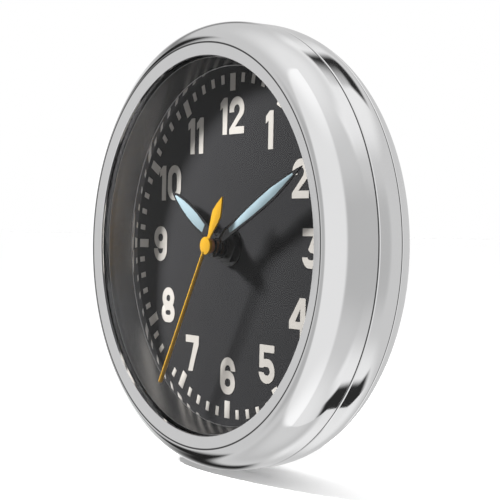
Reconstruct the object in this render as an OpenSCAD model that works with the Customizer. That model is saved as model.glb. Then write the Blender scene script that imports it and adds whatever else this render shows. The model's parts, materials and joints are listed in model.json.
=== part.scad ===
// Round mantel clock: a polished drum case, a black dial under glass, three hands and a
// quartz movement with its whole gear train. The parts are drawn in the clock's own frame,
// with the dial's front face at z = 0, z towards the viewer and y towards twelve, and
// upright() stands the clock on its foot with its front facing -Y.

/* [Case] */
// Outside diameter of the case
case_d = 152.4; // [126:0.2:260]
// Width of the rim around the glass, seen from the front
rim_w = 12.2; // [10:0.1:20]
// Width of the sloping face next to the glass
face_w = 4.3; // [2:0.1:6]
// Height of the rim's crest in front of the dial
front_h = 15.2; // [14:0.1:24]
// Depth of the case behind the dial's front face
back_h = 18.6; // [18.6:0.1:30]
// Wall thickness of the case rings
case_wall = 3; // [2.4:0.1:4]
// Width of the middle band between its two seams
band_w = 10.2; // [6:0.1:12]
// Width of the bevels that meet at each seam
seam_bevel = 0.5; // [0.2:0.05:0.8]

/* [Glass and dial] */
// Thickness of the glass
glass_t = 1.6; // [1:0.1:2.4]
// Thickness of the rubber ring in front of the glass
gasket_t = 0.4; // [0.3:0.1:1]
// Thickness of the dial plate
dial_t = 0.8; // [0.5:0.1:1.4]
// How far the mirror ring narrows the opening down at the dial
mirror_slope = 2.8; // [1:0.1:5]
// Gap between the marks and the mirror ring
mark_inset = 1.8; // [1:0.1:4]
// Length of an hour mark
hour_mark_l = 6; // [3:0.1:8]
// Width of an hour mark
hour_mark_w = 3.1; // [1:0.1:4]
// Length of a minute mark
minute_mark_l = 3.2; // [1:0.1:6]
// Width of a minute mark
minute_mark_w = 1.9; // [0.5:0.1:2.5]
// Distance from the mirror ring to the middle of the numerals
numeral_inset = 16.4; // [14:0.1:20]
// Height of a numeral
numeral_h = 12.8; // [8:0.1:14]
// Width of one digit
digit_w = 8.8; // [6:0.1:10]
// Stroke width of the numerals
stroke = 2.7; // [1.5:0.1:3]
// Thickness of the printed marks and numerals
print_t = 0.12; // [0.08:0.02:0.3]

/* [Hands] */
// Gap from the hour hand's tip to the mirror ring
hour_tip_gap = 26; // [18:0.5:30]
// Gap from the minute hand's tip to the mirror ring
minute_tip_gap = 6.1; // [2:0.1:12]
// Gap from the second hand's tip to the mirror ring
second_tip_gap = 4.7; // [2:0.1:12]
// Widest part of the hour hand
hour_hand_w = 5.9; // [4:0.1:8]
// Widest part of the minute hand
minute_hand_w = 5.1; // [3:0.1:7]
// Diameter of the second hand's rod
second_rod_d = 1.4; // [0.8:0.1:2]
// Length of the second hand's counterweight
counter_l = 19; // [12:0.5:22]
// Thickness of a hand
hand_t = 0.6; // [0.4:0.05:0.8]
// Width of the dark border around the pale inlays
border = 0.8; // [0.5:0.05:1.2]

/* [Movement] */
// Side of the square movement housing
housing_w = 56; // [56:0.5:60]
// Depth of the movement housing
housing_h = 16.1; // [16.1:0.1:18]
// Wall thickness of the housing
housing_wall = 1.2; // [1:0.1:1.6]
// Outside radius of the threaded nose
nose_r = 3.9; // [3.7:0.05:4.5]
// Pressure angle of the gear teeth
pressure = 20; // [14.5, 20]
// Play between two meshing teeth
backlash = 0.24; // [0.2:0.01:0.3]
// Radial running clearance of tubes and arbors
run_gap = 0.05; // [0.03:0.01:0.08]

/* [Stand] */
// Width of the folding leg
leg_w = 18; // [14:0.5:20]
// Thickness of the folding leg
leg_t = 1.4; // [1:0.1:2]
// Distance of the leg's hinge from the rim of the case
hinge_inset = 24; // [22:0.5:26]
// Width of the rubber foot under the case
foot_w = 14; // [10:0.5:20]

/* [Hidden] */
$fn = 96;

// Small gaps and depths that several pieces share
slip = 0.3;
tiny = 0.1;
cut = 1;

// The case, from the glass opening outwards
case_r = case_d / 2;
opening_r = case_r - rim_w;
crest_r = opening_r + face_w;
front_flat = 3;
rear_flat = 5;
rear_drop = 5.9;
rear_arc = 65;
face_drop = 0.8;
lip_t = 1.2;
seat_w = 2.6;
spigot_t = 2;
spigot_h = 6;
band_front = -1.1;
band_back = band_front - band_w;
flange_t = 2.2;
cover_t = 1.2;
cover_recess = 1.2;
cover_w = 9;
ledge_w = 6.4;
ledge_t = 2;

glass_r = opening_r + seat_w;
dial_open_r = opening_r - mirror_slope;
lip_z = front_h - face_drop - lip_t;
glass_front = lip_z - gasket_t;
glass_back = glass_front - glass_t;
band_in_r = case_r - case_wall;
spigot_r = glass_r + slip + spigot_t;
cover_r = case_r - cover_w;
cover_front = -back_h + cover_recess + cover_t;
cover_back = cover_front - cover_t;
flange_back = -dial_t - flange_t;
screw_ring_r = cover_r - 3;
case_screw_r = 1.25;
case_head_r = 2.2;

// The movement, from the dial backwards
rubber_t = 0.5;
housing_front = -dial_t - rubber_t;
housing_back = housing_front - housing_h;
plate_t = 1;
inner_front = housing_front - plate_t;
inner_back = housing_back + plate_t;
housing_split = -9;
inner_w = housing_w - 2 * housing_wall;
nose_flange_r = 5.6;
nose_flange_t = 0.6;
nut_t = 2.2;
washer_t = 0.4;
nut_top = washer_t + nut_t;
nose_top = nut_top + 0.4;
hour_pipe_r = 2.5;
cannon_r = 1.6;
arbor_r = 0.5;
fine_arbor_r = 0.4;
motion_post_r = 0.8;
knob_shaft_r = 0.9;
post_wall = 0.65;
pivot_end = inner_back + 0.8;

// The hands share the room between the nut and the glass
glass_gap = 0.7;
hand_top = glass_back - glass_gap;
hand_room = hand_top - nut_top;
hour_z = nut_top + 0.25 * hand_room;
minute_z = nut_top + 0.54 * hand_room;
boss_t = 1;
second_z = hand_top - boss_t;
hour_l = dial_open_r - hour_tip_gap;
minute_l = dial_open_r - minute_tip_gap;
second_l = dial_open_r - second_tip_gap;
hour_hub_r = 4.4;
minute_hub_r = 3.9;
hour_hub_t = 0.5;
minute_hub_t = 0.6;
boss_r = 3;
collet_r = 2.6;
hour_angle = 302.5;
minute_angle = 61.9;
second_angle = 209.3;

// The gear train: teeth, the distance between two arbors, and the way to the next one
rotor_teeth = 10;
idler_teeth = 60;
idler_pinion_teeth = 12;
seconds_teeth = 60;
seconds_pinion_teeth = 8;
third_teeth = 60;
third_pinion_teeth = 8;
centre_teeth = 64;
cannon_teeth = 12;
motion_teeth = 36;
motion_pinion_teeth = 10;
hour_teeth = 40;
knob_teeth = 12;
idler_gap = 10.8;
rotor_gap = 10.5;
third_gap = 10.2;
motion_gap = 8.4;
idler_way = 40;
rotor_way = 125;
third_way = 130;
motion_way = 195;
knob_way = 200;
idler_at = polar(idler_gap, idler_way);
rotor_at = idler_at + polar(rotor_gap, rotor_way);
third_at = polar(third_gap, third_way);
motion_at = polar(motion_gap, motion_way);
knob_at = motion_at + polar(motion_gap, knob_way);

// Levels of the gears behind the dial
hour_wheel_z = -3.5;
motion_z = -4.7;
centre_z = -6.1;
third_z = -7.7;
seconds_z = -9.3;
idler_z = -10.9;
magnet_z = -13.2;
wheel_t = 0.7;
pinion_t = 1.1;

// The battery bay and what lies beside the gears
battery_r = 7.25;
battery_l = 50.5;
nub_l = 1;
battery_y = -19.3;
battery_z = -9.6;
bay_wall_y = -11.9;
contact_t = 0.4;
lug_x = inner_w / 2 - 2.2;
lugs = [[-lug_x, lug_x], [lug_x, lug_x], [-lug_x, bay_wall_y + 3.2], [lug_x, bay_wall_y + 3.2]];
coil_y = 23.2;
coil_z = -12;
coil_l = 20;
board_z = -13.6;

// The stand
hinge_y = case_r - hinge_inset;
pin_r = 0.8;
knuckle_r = 1.6;
bracket_t = 1;
hinge_z = cover_back - knuckle_r - slip;
leg_end_y = -(case_r - 7);
leg_back = hinge_z - knuckle_r;
tip_wrap = 0.4;
ear_t = 1.6;
bracket_screw_x = leg_w / 2 + 8;

total_back = tip_wrap - leg_back;
middle_y = (front_h - total_back) / 2;
hex_sides = 6;
hex_across = 11;

function polar(r, a) = [r * cos(a), r * sin(a)];

// Radius of the case's outside at a height: an ellipse towards the crest, a straight
// middle and a rounder ellipse towards the back
function front_r(t) = crest_r + (case_r - crest_r) * cos(t);
function front_z(t) = front_flat + (front_h - front_flat) * sin(t);
rear_a = rear_drop / (1 - cos(rear_arc));
rear_b = (back_h - rear_flat) / sin(rear_arc);
function rear_t(z) = asin(min(1, max(0, (-z - rear_flat) / rear_b)));
function rear_r(z) = case_r - rear_a * (1 - cos(rear_t(z)));
function rear_outline(z0, z1, steps) =
    [for (i = [0:steps]) let (z = z0 + (z1 - z0) * i / steps) [rear_r(z), z]];

module upright() {
    translate([0, middle_y, case_r]) rotate([90, 0, 0]) children();
}

module at(p, z = 0) {
    translate([p[0], p[1], z]) children();
}

module disc(r, z0, z1) {
    translate([0, 0, z0]) cylinder(r = r, h = z1 - z0);
}

module tube(r_out, r_in, z0, z1) {
    difference() {
        disc(r_out, z0, z1);
        disc(r_in, z0 - cut, z1 + cut);
    }
}

module slab(size, centre, z0, z1) {
    translate([centre[0] - size[0] / 2, centre[1] - size[1] / 2, z0])
        cube([size[0], size[1], z1 - z0]);
}

module around(count, r, start = 0) {
    for (i = [0:count - 1]) {
        rotate([0, 0, start + 360 * i / count]) translate([r, 0, 0]) children();
    }
}

// ---------------------------------------------------------------- case

module bezel_ring() {
    seat_r = glass_r + slip;
    hollow_r = spigot_r + tiny;
    hollow_z = spigot_h + slip;
    color("gainsboro") upright() rotate_extrude() polygon(concat(
        [for (t = [0:7.5:90]) [front_r(t), front_z(t)]],
        [
            [opening_r, front_h - face_drop],
            [opening_r, lip_z],
            [seat_r, lip_z],
            [seat_r, hollow_z],
            [hollow_r, hollow_z],
            [hollow_r, band_front],
            [case_r - seam_bevel, band_front],
            [case_r, band_front + seam_bevel]
        ]
    ));
}

module case_band() {
    color("silver") upright() difference() {
        rotate_extrude() polygon(concat(
            [[case_r - seam_bevel, band_front]],
            rear_outline(band_front - seam_bevel, band_back + seam_bevel, 8),
            [
                [rear_r(band_back) - seam_bevel, band_back],
                [band_in_r, band_back],
                [band_in_r, flange_back],
                [dial_open_r - 3, flange_back],
                [dial_open_r - 3, -dial_t],
                [glass_r + slip, -dial_t],
                [glass_r + slip, spigot_h],
                [spigot_r, spigot_h],
                [spigot_r, band_front]
            ]
        ));
        foot_block(tiny, cut);
        around(4, screw_ring_r, 45) disc(case_screw_r, flange_back - cut, cut);
    }
}

module rear_ring() {
    wall_r = cover_r + slip;
    ledge_r = cover_r - ledge_w;
    joint_r = band_in_r - tiny;
    hollow_r = joint_r - 2;
    ledge_top = cover_front + ledge_t;
    color("gainsboro") upright() difference() {
        rotate_extrude() polygon(concat(
            [[rear_r(band_back) - seam_bevel, band_back]],
            rear_outline(band_back - seam_bevel, -back_h, 8),
            [
                [wall_r, -back_h],
                [wall_r, cover_front],
                [ledge_r, cover_front],
                [ledge_r, ledge_top],
                [hollow_r, ledge_top],
                [hollow_r, band_back + 1.8],
                [joint_r, band_back + 1.8],
                [joint_r, band_back]
            ]
        ));
        around(4, screw_ring_r, 45) {
            disc(case_screw_r, cover_front - cut, ledge_top + cut);
            disc(case_head_r + tiny, cover_front - cut, cover_front + ledge_t / 2);
        }
        around(6, screw_ring_r, 30) disc(1.1, cover_front - cut, ledge_top + cut);
    }
}

// The foot sits in a pocket in the band, flush with the lowest point of the case
module foot_block(gap, below) {
    foot_depth = 1.2;
    foot_long = 6.5;
    foot_z = band_front - 0.8 - foot_long;
    translate([-foot_w / 2 - gap, -case_r - below, foot_z - gap])
        cube([foot_w + 2 * gap, foot_depth + below, foot_long + 2 * gap]);
}

module foot_pad() {
    color("dimgray") upright() foot_block(0, 0);
}

module case_screws() {
    color("silver") upright() around(4, screw_ring_r, 45) {
        disc(case_screw_r, cover_front + ledge_t / 2, -dial_t - 0.4);
        disc(case_head_r, cover_front + tiny, cover_front + ledge_t / 2);
    }
}

module crystal_gasket() {
    color("black") upright() tube(glass_r, opening_r + 0.4, glass_front, lip_z);
}

module crystal() {
    color("lightcyan", 0.3) upright() disc(glass_r, glass_back, glass_front);
}

module mirror_ring() {
    top_r = opening_r - 0.4;
    skin = 1.2;
    rim_t = 1;
    color("silver") upright() rotate_extrude() polygon([
        [dial_open_r, 0],
        [top_r, glass_back],
        [glass_r, glass_back],
        [glass_r, glass_back - rim_t],
        [top_r + skin, glass_back - rim_t],
        [dial_open_r + skin, rim_t],
        [glass_r, rim_t],
        [glass_r, 0]
    ]);
}

module back_cover() {
    window = housing_w + 2 * slip + 0.8;
    color("#3a3a3c") upright() difference() {
        disc(cover_r, cover_back, cover_front);
        slab([window, window], [0, 0], cover_back - cut, cover_front + cut);
        around(6, screw_ring_r, 30) disc(1.4, cover_back - cut, cover_front + cut);
        for (side = [-1, 1]) {
            at([side * bracket_screw_x, hinge_y]) disc(1.05, cover_back - cut, cover_front + cut);
        }
    }
}

module cover_screws() {
    color("silver") upright() around(6, screw_ring_r, 30) difference() {
        union() {
            disc(1.1, cover_front, cover_front + ledge_t);
            disc(1.4, cover_back, cover_front);
            disc(2.3, cover_back - 0.8, cover_back);
        }
        slab([0.6, 2.6], [0, 0], cover_back - cut, cover_back - 0.3);
        slab([2.6, 0.6], [0, 0], cover_back - cut, cover_back - 0.3);
    }
}

// ---------------------------------------------------------------- dial

module dial() {
    color("#333436") upright() tube(glass_r, nose_r, -dial_t, 0);
}

module minute_track() {
    outer = dial_open_r - mark_inset;
    color("#e8e2da") upright() for (i = [0:59]) {
        length = i % 5 == 0 ? hour_mark_l : minute_mark_l;
        width = i % 5 == 0 ? hour_mark_w : minute_mark_w;
        rotate([0, 0, 6 * i]) slab([width, length], [0, outer - length / 2], 0, print_t);
    }
}

// A slot shape with round ends, standing on y = 0; it may be taller than wide or wider than tall
module stadium(w, h) {
    r = min(w, h) / 2;
    for (side = [-1, 1]) {
        translate([side * (w / 2 - r), h / 2 + side * (h / 2 - r)]) circle(r = r);
    }
    if (h > w) translate([-r, r]) square([w, h - w]);
    if (w > h) translate([r - w / 2, 0]) square([w - h, h]);
}

module loop(w, h) {
    difference() {
        stadium(w, h);
        translate([0, stroke]) stadium(w - 2 * stroke, h - 2 * stroke);
    }
}

module bar(x0, y0, x1, y1) {
    translate([x0, y0]) square([x1 - x0, y1 - y0]);
}

module digit_0() {
    loop(digit_w, numeral_h);
}

module digit_1() {
    top = numeral_h;
    half = stroke / 2;
    polygon([
        [half, 0], [half, top], [-half + 0.6, top], [-half - 1.5, top - 1.8],
        [-half - 1.5, top - 4.2], [-half, top - 3.2], [-half, 0]
    ]);
}

module digit_2() {
    w = digit_w;
    bend = numeral_h - w / 2;
    bar_t = stroke * 0.92;
    intersection() {
        translate([0, numeral_h - w]) loop(w, w);
        bar(-w / 2, bend, w / 2, numeral_h);
    }
    bar(-w / 2, bend - 0.9, -w / 2 + stroke, bend);
    polygon([
        [w / 2, bend], [w / 2, bend - 0.4], [w / 2 - 0.6, bend - 1.8], [-w / 2 + stroke + 0.7, bar_t],
        [w / 2, bar_t], [w / 2, 0], [-w / 2, 0], [-w / 2, bar_t * 0.7],
        [w / 2 - stroke - 0.3, bend - 1], [w / 2 - stroke, bend]
    ]);
}

module digit_3() {
    w = digit_w;
    top = numeral_h;
    bar_t = stroke * 0.92;
    bowl_h = top * 0.6;
    difference() {
        loop(w, bowl_h);
        bar(-w, bowl_h * 0.46, 0, bowl_h);
    }
    bar(-w / 2, top - bar_t, w / 2, top);
    polygon([
        [w / 2, top - bar_t], [w / 2 - stroke - 0.7, top - bar_t], [-1.4, bowl_h - stroke * 0.6],
        [-0.2, bowl_h - stroke], [0.8, bowl_h - 0.2]
    ]);
}

module digit_4() {
    w = digit_w + 0.6;
    top = numeral_h;
    stem_x = w / 2 - 0.9;
    arm_y = 2.7;
    bar_t = stroke * 0.9;
    difference() {
        polygon([
            [stem_x, arm_y], [stem_x, top], [stem_x - stroke - 0.3, top],
            [-w / 2, arm_y + bar_t + 0.2], [-w / 2, arm_y]
        ]);
        polygon([
            [stem_x - stroke, arm_y + bar_t], [stem_x - stroke, arm_y + bar_t + 4.2],
            [-w / 2 + stroke + 0.4, arm_y + bar_t]
        ]);
    }
    bar(stem_x - stroke, 0, stem_x, arm_y);
    bar(stem_x, arm_y, w / 2, arm_y + bar_t);
}

module digit_5() {
    w = digit_w;
    top = numeral_h;
    bar_t = stroke * 0.92;
    bowl_h = top * 0.64;
    difference() {
        loop(w, bowl_h);
        bar(-w, bowl_h * 0.44, -0.6, bowl_h);
    }
    bar(-w / 2 + 0.3, top - bar_t, w / 2 - 0.3, top);
    bar(-w / 2 + 0.3, bowl_h - stroke - 0.4, -w / 2 + 0.3 + stroke * 0.9, top - bar_t);
    bar(-w / 2 + stroke, bowl_h - stroke, 0, bowl_h - 0.1);
}

module digit_6() {
    w = digit_w;
    top = numeral_h;
    loop(w, top * 0.64);
    difference() {
        loop(w, top);
        bar(0, w * 0.4, w, top - w / 2 - 0.2);
        bar(-w / 2 + stroke, 0, w, w * 0.5);
    }
}

module digit_7() {
    w = digit_w - 0.4;
    top = numeral_h;
    bar_t = stroke * 0.95;
    bar(-w / 2, top - bar_t, w / 2, top);
    polygon([
        [w / 2, top - bar_t], [w / 2, top - bar_t - 0.6], [w * 0.3, top * 0.45], [w * 0.06, 0],
        [w * 0.06 - stroke - 0.2, 0], [-w * 0.02, top * 0.5], [w / 2 - stroke - 0.5, top - bar_t]
    ]);
}

module digit_8() {
    w = digit_w;
    low = numeral_h * 0.56;
    high_w = w - 0.8;
    loop(w, low);
    translate([0, low - stroke * 0.8])
        loop(high_w, numeral_h - low + stroke * 0.8);
}

module digit_9() {
    translate([0, numeral_h]) rotate(180) digit_6();
}

module digit(n) {
    if (n == 0) digit_0();
    if (n == 1) digit_1();
    if (n == 2) digit_2();
    if (n == 3) digit_3();
    if (n == 4) digit_4();
    if (n == 5) digit_5();
    if (n == 6) digit_6();
    if (n == 7) digit_7();
    if (n == 8) digit_8();
    if (n == 9) digit_9();
}

module raised(p) {
    translate([p[0], p[1] - numeral_h / 2, 0]) linear_extrude(print_t) children();
}

module hour_numerals() {
    ring = dial_open_r - numeral_inset;
    one_w = stroke + 1.5;
    space = 1.3;
    color("#ece6de") upright() for (hour = [1:12]) {
        place = polar(ring, 90 - 30 * hour);
        ones = hour % 10;
        ones_w = ones == 1 ? one_w : digit_w;
        if (hour < 10) {
            raised(place) digit(hour);
        } else {
            total = one_w + space + ones_w;
            raised(place + [-total / 2 + one_w - stroke / 2, 0]) digit(1);
            raised(place + [total / 2 - (ones == 1 ? stroke / 2 : digit_w / 2), 0]) digit(ones);
        }
    }
}

// ---------------------------------------------------------------- hands

// Half widths of a leaf-shaped hand: [distance along it, half width]
function hour_stations(inset) = [
    [hour_hub_r - 0.6 + 7 * inset, hour_hand_w * 0.4 - border * inset],
    [hour_l * 0.48, hour_hand_w / 2 - border * inset],
    [hour_l * 0.62, hour_hand_w * 0.475 - border * inset],
    [hour_l * 0.77, hour_hand_w * 0.385 - border * inset],
    [hour_l * 0.89, hour_hand_w * 0.24 - border * inset]
];
function minute_stations(inset) = [
    [minute_hub_r - 0.8 + 8 * inset, minute_hand_w * 0.3 - border * 0.9 * inset],
    [minute_l * 0.42, minute_hand_w * 0.47 - border * inset],
    [minute_l * 0.58, minute_hand_w / 2 - border * inset],
    [minute_l * 0.7, minute_hand_w * 0.47 - border * inset],
    [minute_l * 0.82, minute_hand_w * 0.34 - border * inset],
    [minute_l * 0.9, minute_hand_w * 0.2 - border * 0.8 * inset]
];

// A leaf outline along +y from half widths on both sides and a tip
module leaf(stations, tip) {
    last = len(stations) - 1;
    polygon(concat(
        [for (i = [0:last]) [stations[i][1], stations[i][0]]],
        [[0, tip]],
        [for (i = [last:-1:0]) [-stations[i][1], stations[i][0]]]
    ));
}

module turned(angle, z) {
    translate([0, 0, z]) rotate([0, 0, -angle]) children();
}

module hour_hand() {
    color("#101012") upright() turned(hour_angle, hour_z) difference() {
        union() {
            linear_extrude(hand_t) leaf(hour_stations(0), hour_l);
            disc(hour_hub_r, -hour_hub_t, hand_t);
        }
        disc(hour_pipe_r, -cut, cut);
        translate([0, 0, -cut]) linear_extrude(2 * cut) leaf(hour_stations(1), hour_l * 0.93);
    }
}

module hour_inlay() {
    color("#cfe6ee") upright() turned(hour_angle, hour_z + tiny)
        linear_extrude(hand_t - tiny) leaf(hour_stations(1), hour_l * 0.93);
}

module minute_hand() {
    color("#101012") upright() turned(minute_angle, minute_z) difference() {
        union() {
            linear_extrude(hand_t) leaf(minute_stations(0), minute_l);
            disc(minute_hub_r, -minute_hub_t, hand_t);
        }
        disc(cannon_r, -cut, cut);
        translate([0, 0, -cut]) linear_extrude(2 * cut)
            leaf(minute_stations(1), minute_l * 0.91);
    }
}

module minute_inlay() {
    color("#cfe6ee") upright() turned(minute_angle, minute_z + tiny)
        linear_extrude(hand_t - tiny) leaf(minute_stations(1), minute_l * 0.91);
}

module second_hand() {
    rod_r = second_rod_d / 2;
    blade_t = 0.6;
    color("#f2b21a") upright() turned(second_angle, second_z) {
        disc(boss_r, 0, boss_t);
        translate([0, boss_r - 0.8, rod_r - 0.1]) rotate([-90, 0, 0])
            cylinder(r1 = rod_r * 0.9, r2 = rod_r * 1.1, h = second_l - boss_r + 0.8 - rod_r);
        translate([0, second_l - rod_r, rod_r - 0.1]) sphere(r = rod_r * 1.1);
        translate([0, 0, 0.1]) linear_extrude(blade_t) rotate(180)
            leaf([[boss_r - 1, 0.55], [counter_l * 0.24, 0.9], [counter_l * 0.5, 2.1],
                [counter_l * 0.66, 2.5], [counter_l * 0.84, 1.35]], counter_l);
    }
}

module hour_collet() {
    color("goldenrod") upright() tube(3.3, hour_pipe_r, nose_top + slip, hour_z - hour_hub_t);
}

module minute_collet() {
    color("goldenrod") upright()
        tube(2.9, cannon_r, hour_z + hand_t + 0.5, minute_z - minute_hub_t);
}

module second_collet() {
    color("#b87333") upright() tube(collet_r, arbor_r, minute_z + hand_t + 0.5, second_z);
}

// ---------------------------------------------------------------- movement

function involute_turn(angle) = tan(angle) * 180 / PI - angle;

// Polar angle of half a tooth at radius r, thinned for the backlash
function tooth_half(r, pitch_r, base_r, teeth) =
    90 / teeth - backlash / 4 / pitch_r * 180 / PI
    + involute_turn(pressure) - involute_turn(acos(min(1, base_r / max(r, base_r))));

// A spur gear whose first tooth points along the phase angle
module gear(teeth, mod, phase, thick) {
    pitch_r = teeth * mod / 2;
    base_r = pitch_r * cos(pressure);
    tip_r = pitch_r + 0.8 * mod;
    root_r = pitch_r - 1.15 * mod;
    low_r = max(base_r, root_r);
    flank = concat(
        root_r < base_r ? [root_r] : [],
        [for (i = [0:3]) low_r + (tip_r - low_r) * i / 3]
    );
    last = len(flank) - 1;
    linear_extrude(thick) polygon([
        for (k = [0:teeth - 1]) each concat(
            [for (i = [0:last]) polar(flank[i],
                360 * k / teeth + phase - tooth_half(flank[i], pitch_r, base_r, teeth))],
            [for (i = [last:-1:0]) polar(flank[i],
                360 * k / teeth + phase + tooth_half(flank[i], pitch_r, base_r, teeth))]
        )
    ]);
}

function module_of(gap, a, b) = 2 * gap / (a + b);

// The phase of a gear of b teeth that meshes one of a teeth lying the other way from it
function mesh_phase(a, phase_a, b, way) = way + 180 - (180 - a * (way - phase_a)) / b;

module wheel(teeth, mod, phase, z, thick = wheel_t) {
    translate([0, 0, z]) gear(teeth, mod, phase, thick);
}

module rotor() {
    mod = module_of(rotor_gap, rotor_teeth, idler_teeth);
    color("#8d9299") upright() at(rotor_at) {
        wheel(rotor_teeth, mod, mesh_phase(idler_teeth, 0, rotor_teeth, rotor_way),
            idler_z - 0.4, pinion_t + 0.2);
        disc(2.9, magnet_z, idler_z - 0.4);
        disc(fine_arbor_r, pivot_end, idler_z + 2.6);
    }
}

module idler_wheel() {
    mod = module_of(rotor_gap, rotor_teeth, idler_teeth);
    pinion_mod = module_of(idler_gap, idler_pinion_teeth, seconds_teeth);
    color("ivory") upright() at(idler_at) {
        wheel(idler_teeth, mod, 0, idler_z);
        wheel(idler_pinion_teeth, pinion_mod,
            mesh_phase(seconds_teeth, 0, idler_pinion_teeth, idler_way), seconds_z - 0.2, pinion_t);
        disc(1.1, idler_z + wheel_t, seconds_z - 0.2);
        disc(fine_arbor_r, pivot_end, seconds_z + 2.2);
    }
}

module seconds_wheel() {
    mod = module_of(idler_gap, idler_pinion_teeth, seconds_teeth);
    pinion_mod = module_of(third_gap, seconds_pinion_teeth, third_teeth);
    color("ivory") upright() {
        wheel(seconds_teeth, mod, 0, seconds_z);
        wheel(seconds_pinion_teeth, pinion_mod, 0, third_z - 0.2, pinion_t);
        disc(0.9, seconds_z + wheel_t, third_z - 0.2);
        disc(arbor_r, pivot_end, second_z);
    }
}

module third_wheel() {
    mod = module_of(third_gap, seconds_pinion_teeth, third_teeth);
    pinion_mod = module_of(third_gap, third_pinion_teeth, centre_teeth);
    color("ivory") upright() at(third_at) {
        wheel(third_teeth, mod, mesh_phase(seconds_pinion_teeth, 0, third_teeth, third_way), third_z);
        wheel(third_pinion_teeth, pinion_mod, 0, centre_z - 0.2, pinion_t);
        disc(0.8, third_z + wheel_t, centre_z - 0.2);
        disc(arbor_r, pivot_end, inner_front - 0.6);
    }
}

module centre_wheel() {
    mod = module_of(third_gap, third_pinion_teeth, centre_teeth);
    color("ivory") upright() difference() {
        union() {
            wheel(centre_teeth, mod,
                mesh_phase(third_pinion_teeth, 0, centre_teeth, third_way + 180), centre_z);
            disc(2.6, centre_z - 0.3, centre_z + wheel_t + 0.2);
        }
        disc(cannon_r + run_gap, centre_z - cut, centre_z + wheel_t + cut);
    }
}

module cannon_pinion() {
    mod = module_of(motion_gap, cannon_teeth, motion_teeth);
    color("goldenrod") upright() difference() {
        union() {
            wheel(cannon_teeth, mod, 0, motion_z - 0.2, pinion_t);
            disc(cannon_r, centre_z - 0.4, minute_z + hand_t + 0.2);
        }
        disc(arbor_r + run_gap, centre_z - cut, minute_z + hand_t + cut);
    }
}

module motion_wheel() {
    mod = module_of(motion_gap, cannon_teeth, motion_teeth);
    pinion_mod = module_of(motion_gap, motion_pinion_teeth, hour_teeth);
    color("ivory") upright() at(motion_at) difference() {
        union() {
            wheel(motion_teeth, mod, mesh_phase(cannon_teeth, 0, motion_teeth, motion_way), motion_z);
            wheel(motion_pinion_teeth, pinion_mod, 0, motion_z + wheel_t, 1.4);
        }
        disc(motion_post_r + run_gap, motion_z - cut, inner_front);
    }
}

module hour_wheel() {
    mod = module_of(motion_gap, motion_pinion_teeth, hour_teeth);
    color("ivory") upright() difference() {
        union() {
            wheel(hour_teeth, mod,
                mesh_phase(motion_pinion_teeth, 0, hour_teeth, motion_way + 180), hour_wheel_z, 0.8);
            disc(hour_pipe_r, hour_wheel_z, hour_z + hand_t + 0.2);
        }
        disc(cannon_r + run_gap, hour_wheel_z - cut, hour_z + hand_t + cut);
    }
}

module set_knob() {
    mod = module_of(motion_gap, cannon_teeth, motion_teeth);
    motion_phase = mesh_phase(cannon_teeth, 0, motion_teeth, motion_way);
    knob_r = 4.6;
    knob_back = housing_back - 1.8;
    color("#26262a") upright() at(knob_at) {
        wheel(knob_teeth, mod, mesh_phase(motion_teeth, motion_phase, knob_teeth, knob_way),
            motion_z - 0.2, pinion_t);
        disc(arbor_r, motion_z, inner_front - 0.6);
        disc(knob_shaft_r, knob_back, motion_z);
        difference() {
            disc(knob_r, knob_back, housing_back - slip);
            around(12, knob_r) disc(0.5, knob_back - cut, housing_back);
        }
    }
}

// A post on the front plate with a blind hole for an arbor
module front_post(p, r, z_end, depth) {
    at(p) difference() {
        disc(r + post_wall, z_end, inner_front);
        disc(r + run_gap, z_end - cut, z_end + depth);
    }
}

module rear_post(p, r, r_extra = 0) {
    height = 1.6;
    at(p) difference() {
        disc(r + post_wall + r_extra, inner_back, inner_back + height);
        disc(r + run_gap, pivot_end - slip, inner_back + height + cut);
    }
}

module square_shell(z0, z1, wall_z0, wall_z1) {
    difference() {
        slab([housing_w, housing_w], [0, 0], z0, z1);
        slab([inner_w, inner_w], [0, 0], wall_z0, wall_z1);
    }
}

module movement_front() {
    color("#1c1c1f") upright() difference() {
        union() {
            square_shell(housing_split, housing_front, housing_split - cut, inner_front);
            front_post(third_at, arbor_r, inner_front - 1.7, 1.5);
            front_post(idler_at, fine_arbor_r, seconds_z + 1.2, 1.4);
            front_post(rotor_at, fine_arbor_r, idler_z + 1.4, 1.6);
            front_post(knob_at, arbor_r, inner_front - 1.1, 0.9);
            at(motion_at) disc(motion_post_r, motion_z - 0.3, inner_front);
            for (p = lugs) at(p) disc(2, housing_split, inner_front);
        }
        disc(nose_r, inner_front - cut, housing_front + cut);
        disc(nose_flange_r, inner_front - cut, inner_front + nose_flange_t);
        for (p = lugs) at(p) disc(0.8, housing_split - cut, housing_split + 5);
    }
}

module movement_rear() {
    bay_w = battery_l + 2;
    bay_y0 = battery_y - battery_r - 0.1;
    color("#232327") upright() difference() {
        union() {
            square_shell(housing_back, housing_split, inner_back, housing_split + cut);
            slab([inner_w, 0.8], [0, bay_wall_y + 0.4], inner_back, inner_front - 0.2);
            rear_post([0, 0], arbor_r);
            rear_post(third_at, arbor_r);
            rear_post(idler_at, fine_arbor_r);
            rear_post(rotor_at, fine_arbor_r);
            for (p = lugs) at(p) disc(2, inner_back, housing_split);
        }
        slab([bay_w, bay_wall_y - bay_y0], [0, (bay_wall_y + bay_y0) / 2], housing_back - cut, inner_back + tiny);
        at(knob_at) disc(knob_shaft_r + run_gap, housing_back - cut, inner_back + cut);
        for (p = lugs) at(p) {
            disc(1, housing_back - cut, housing_split + cut);
            disc(1.7, housing_back - cut, housing_back + 1.4);
        }
    }
}

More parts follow.
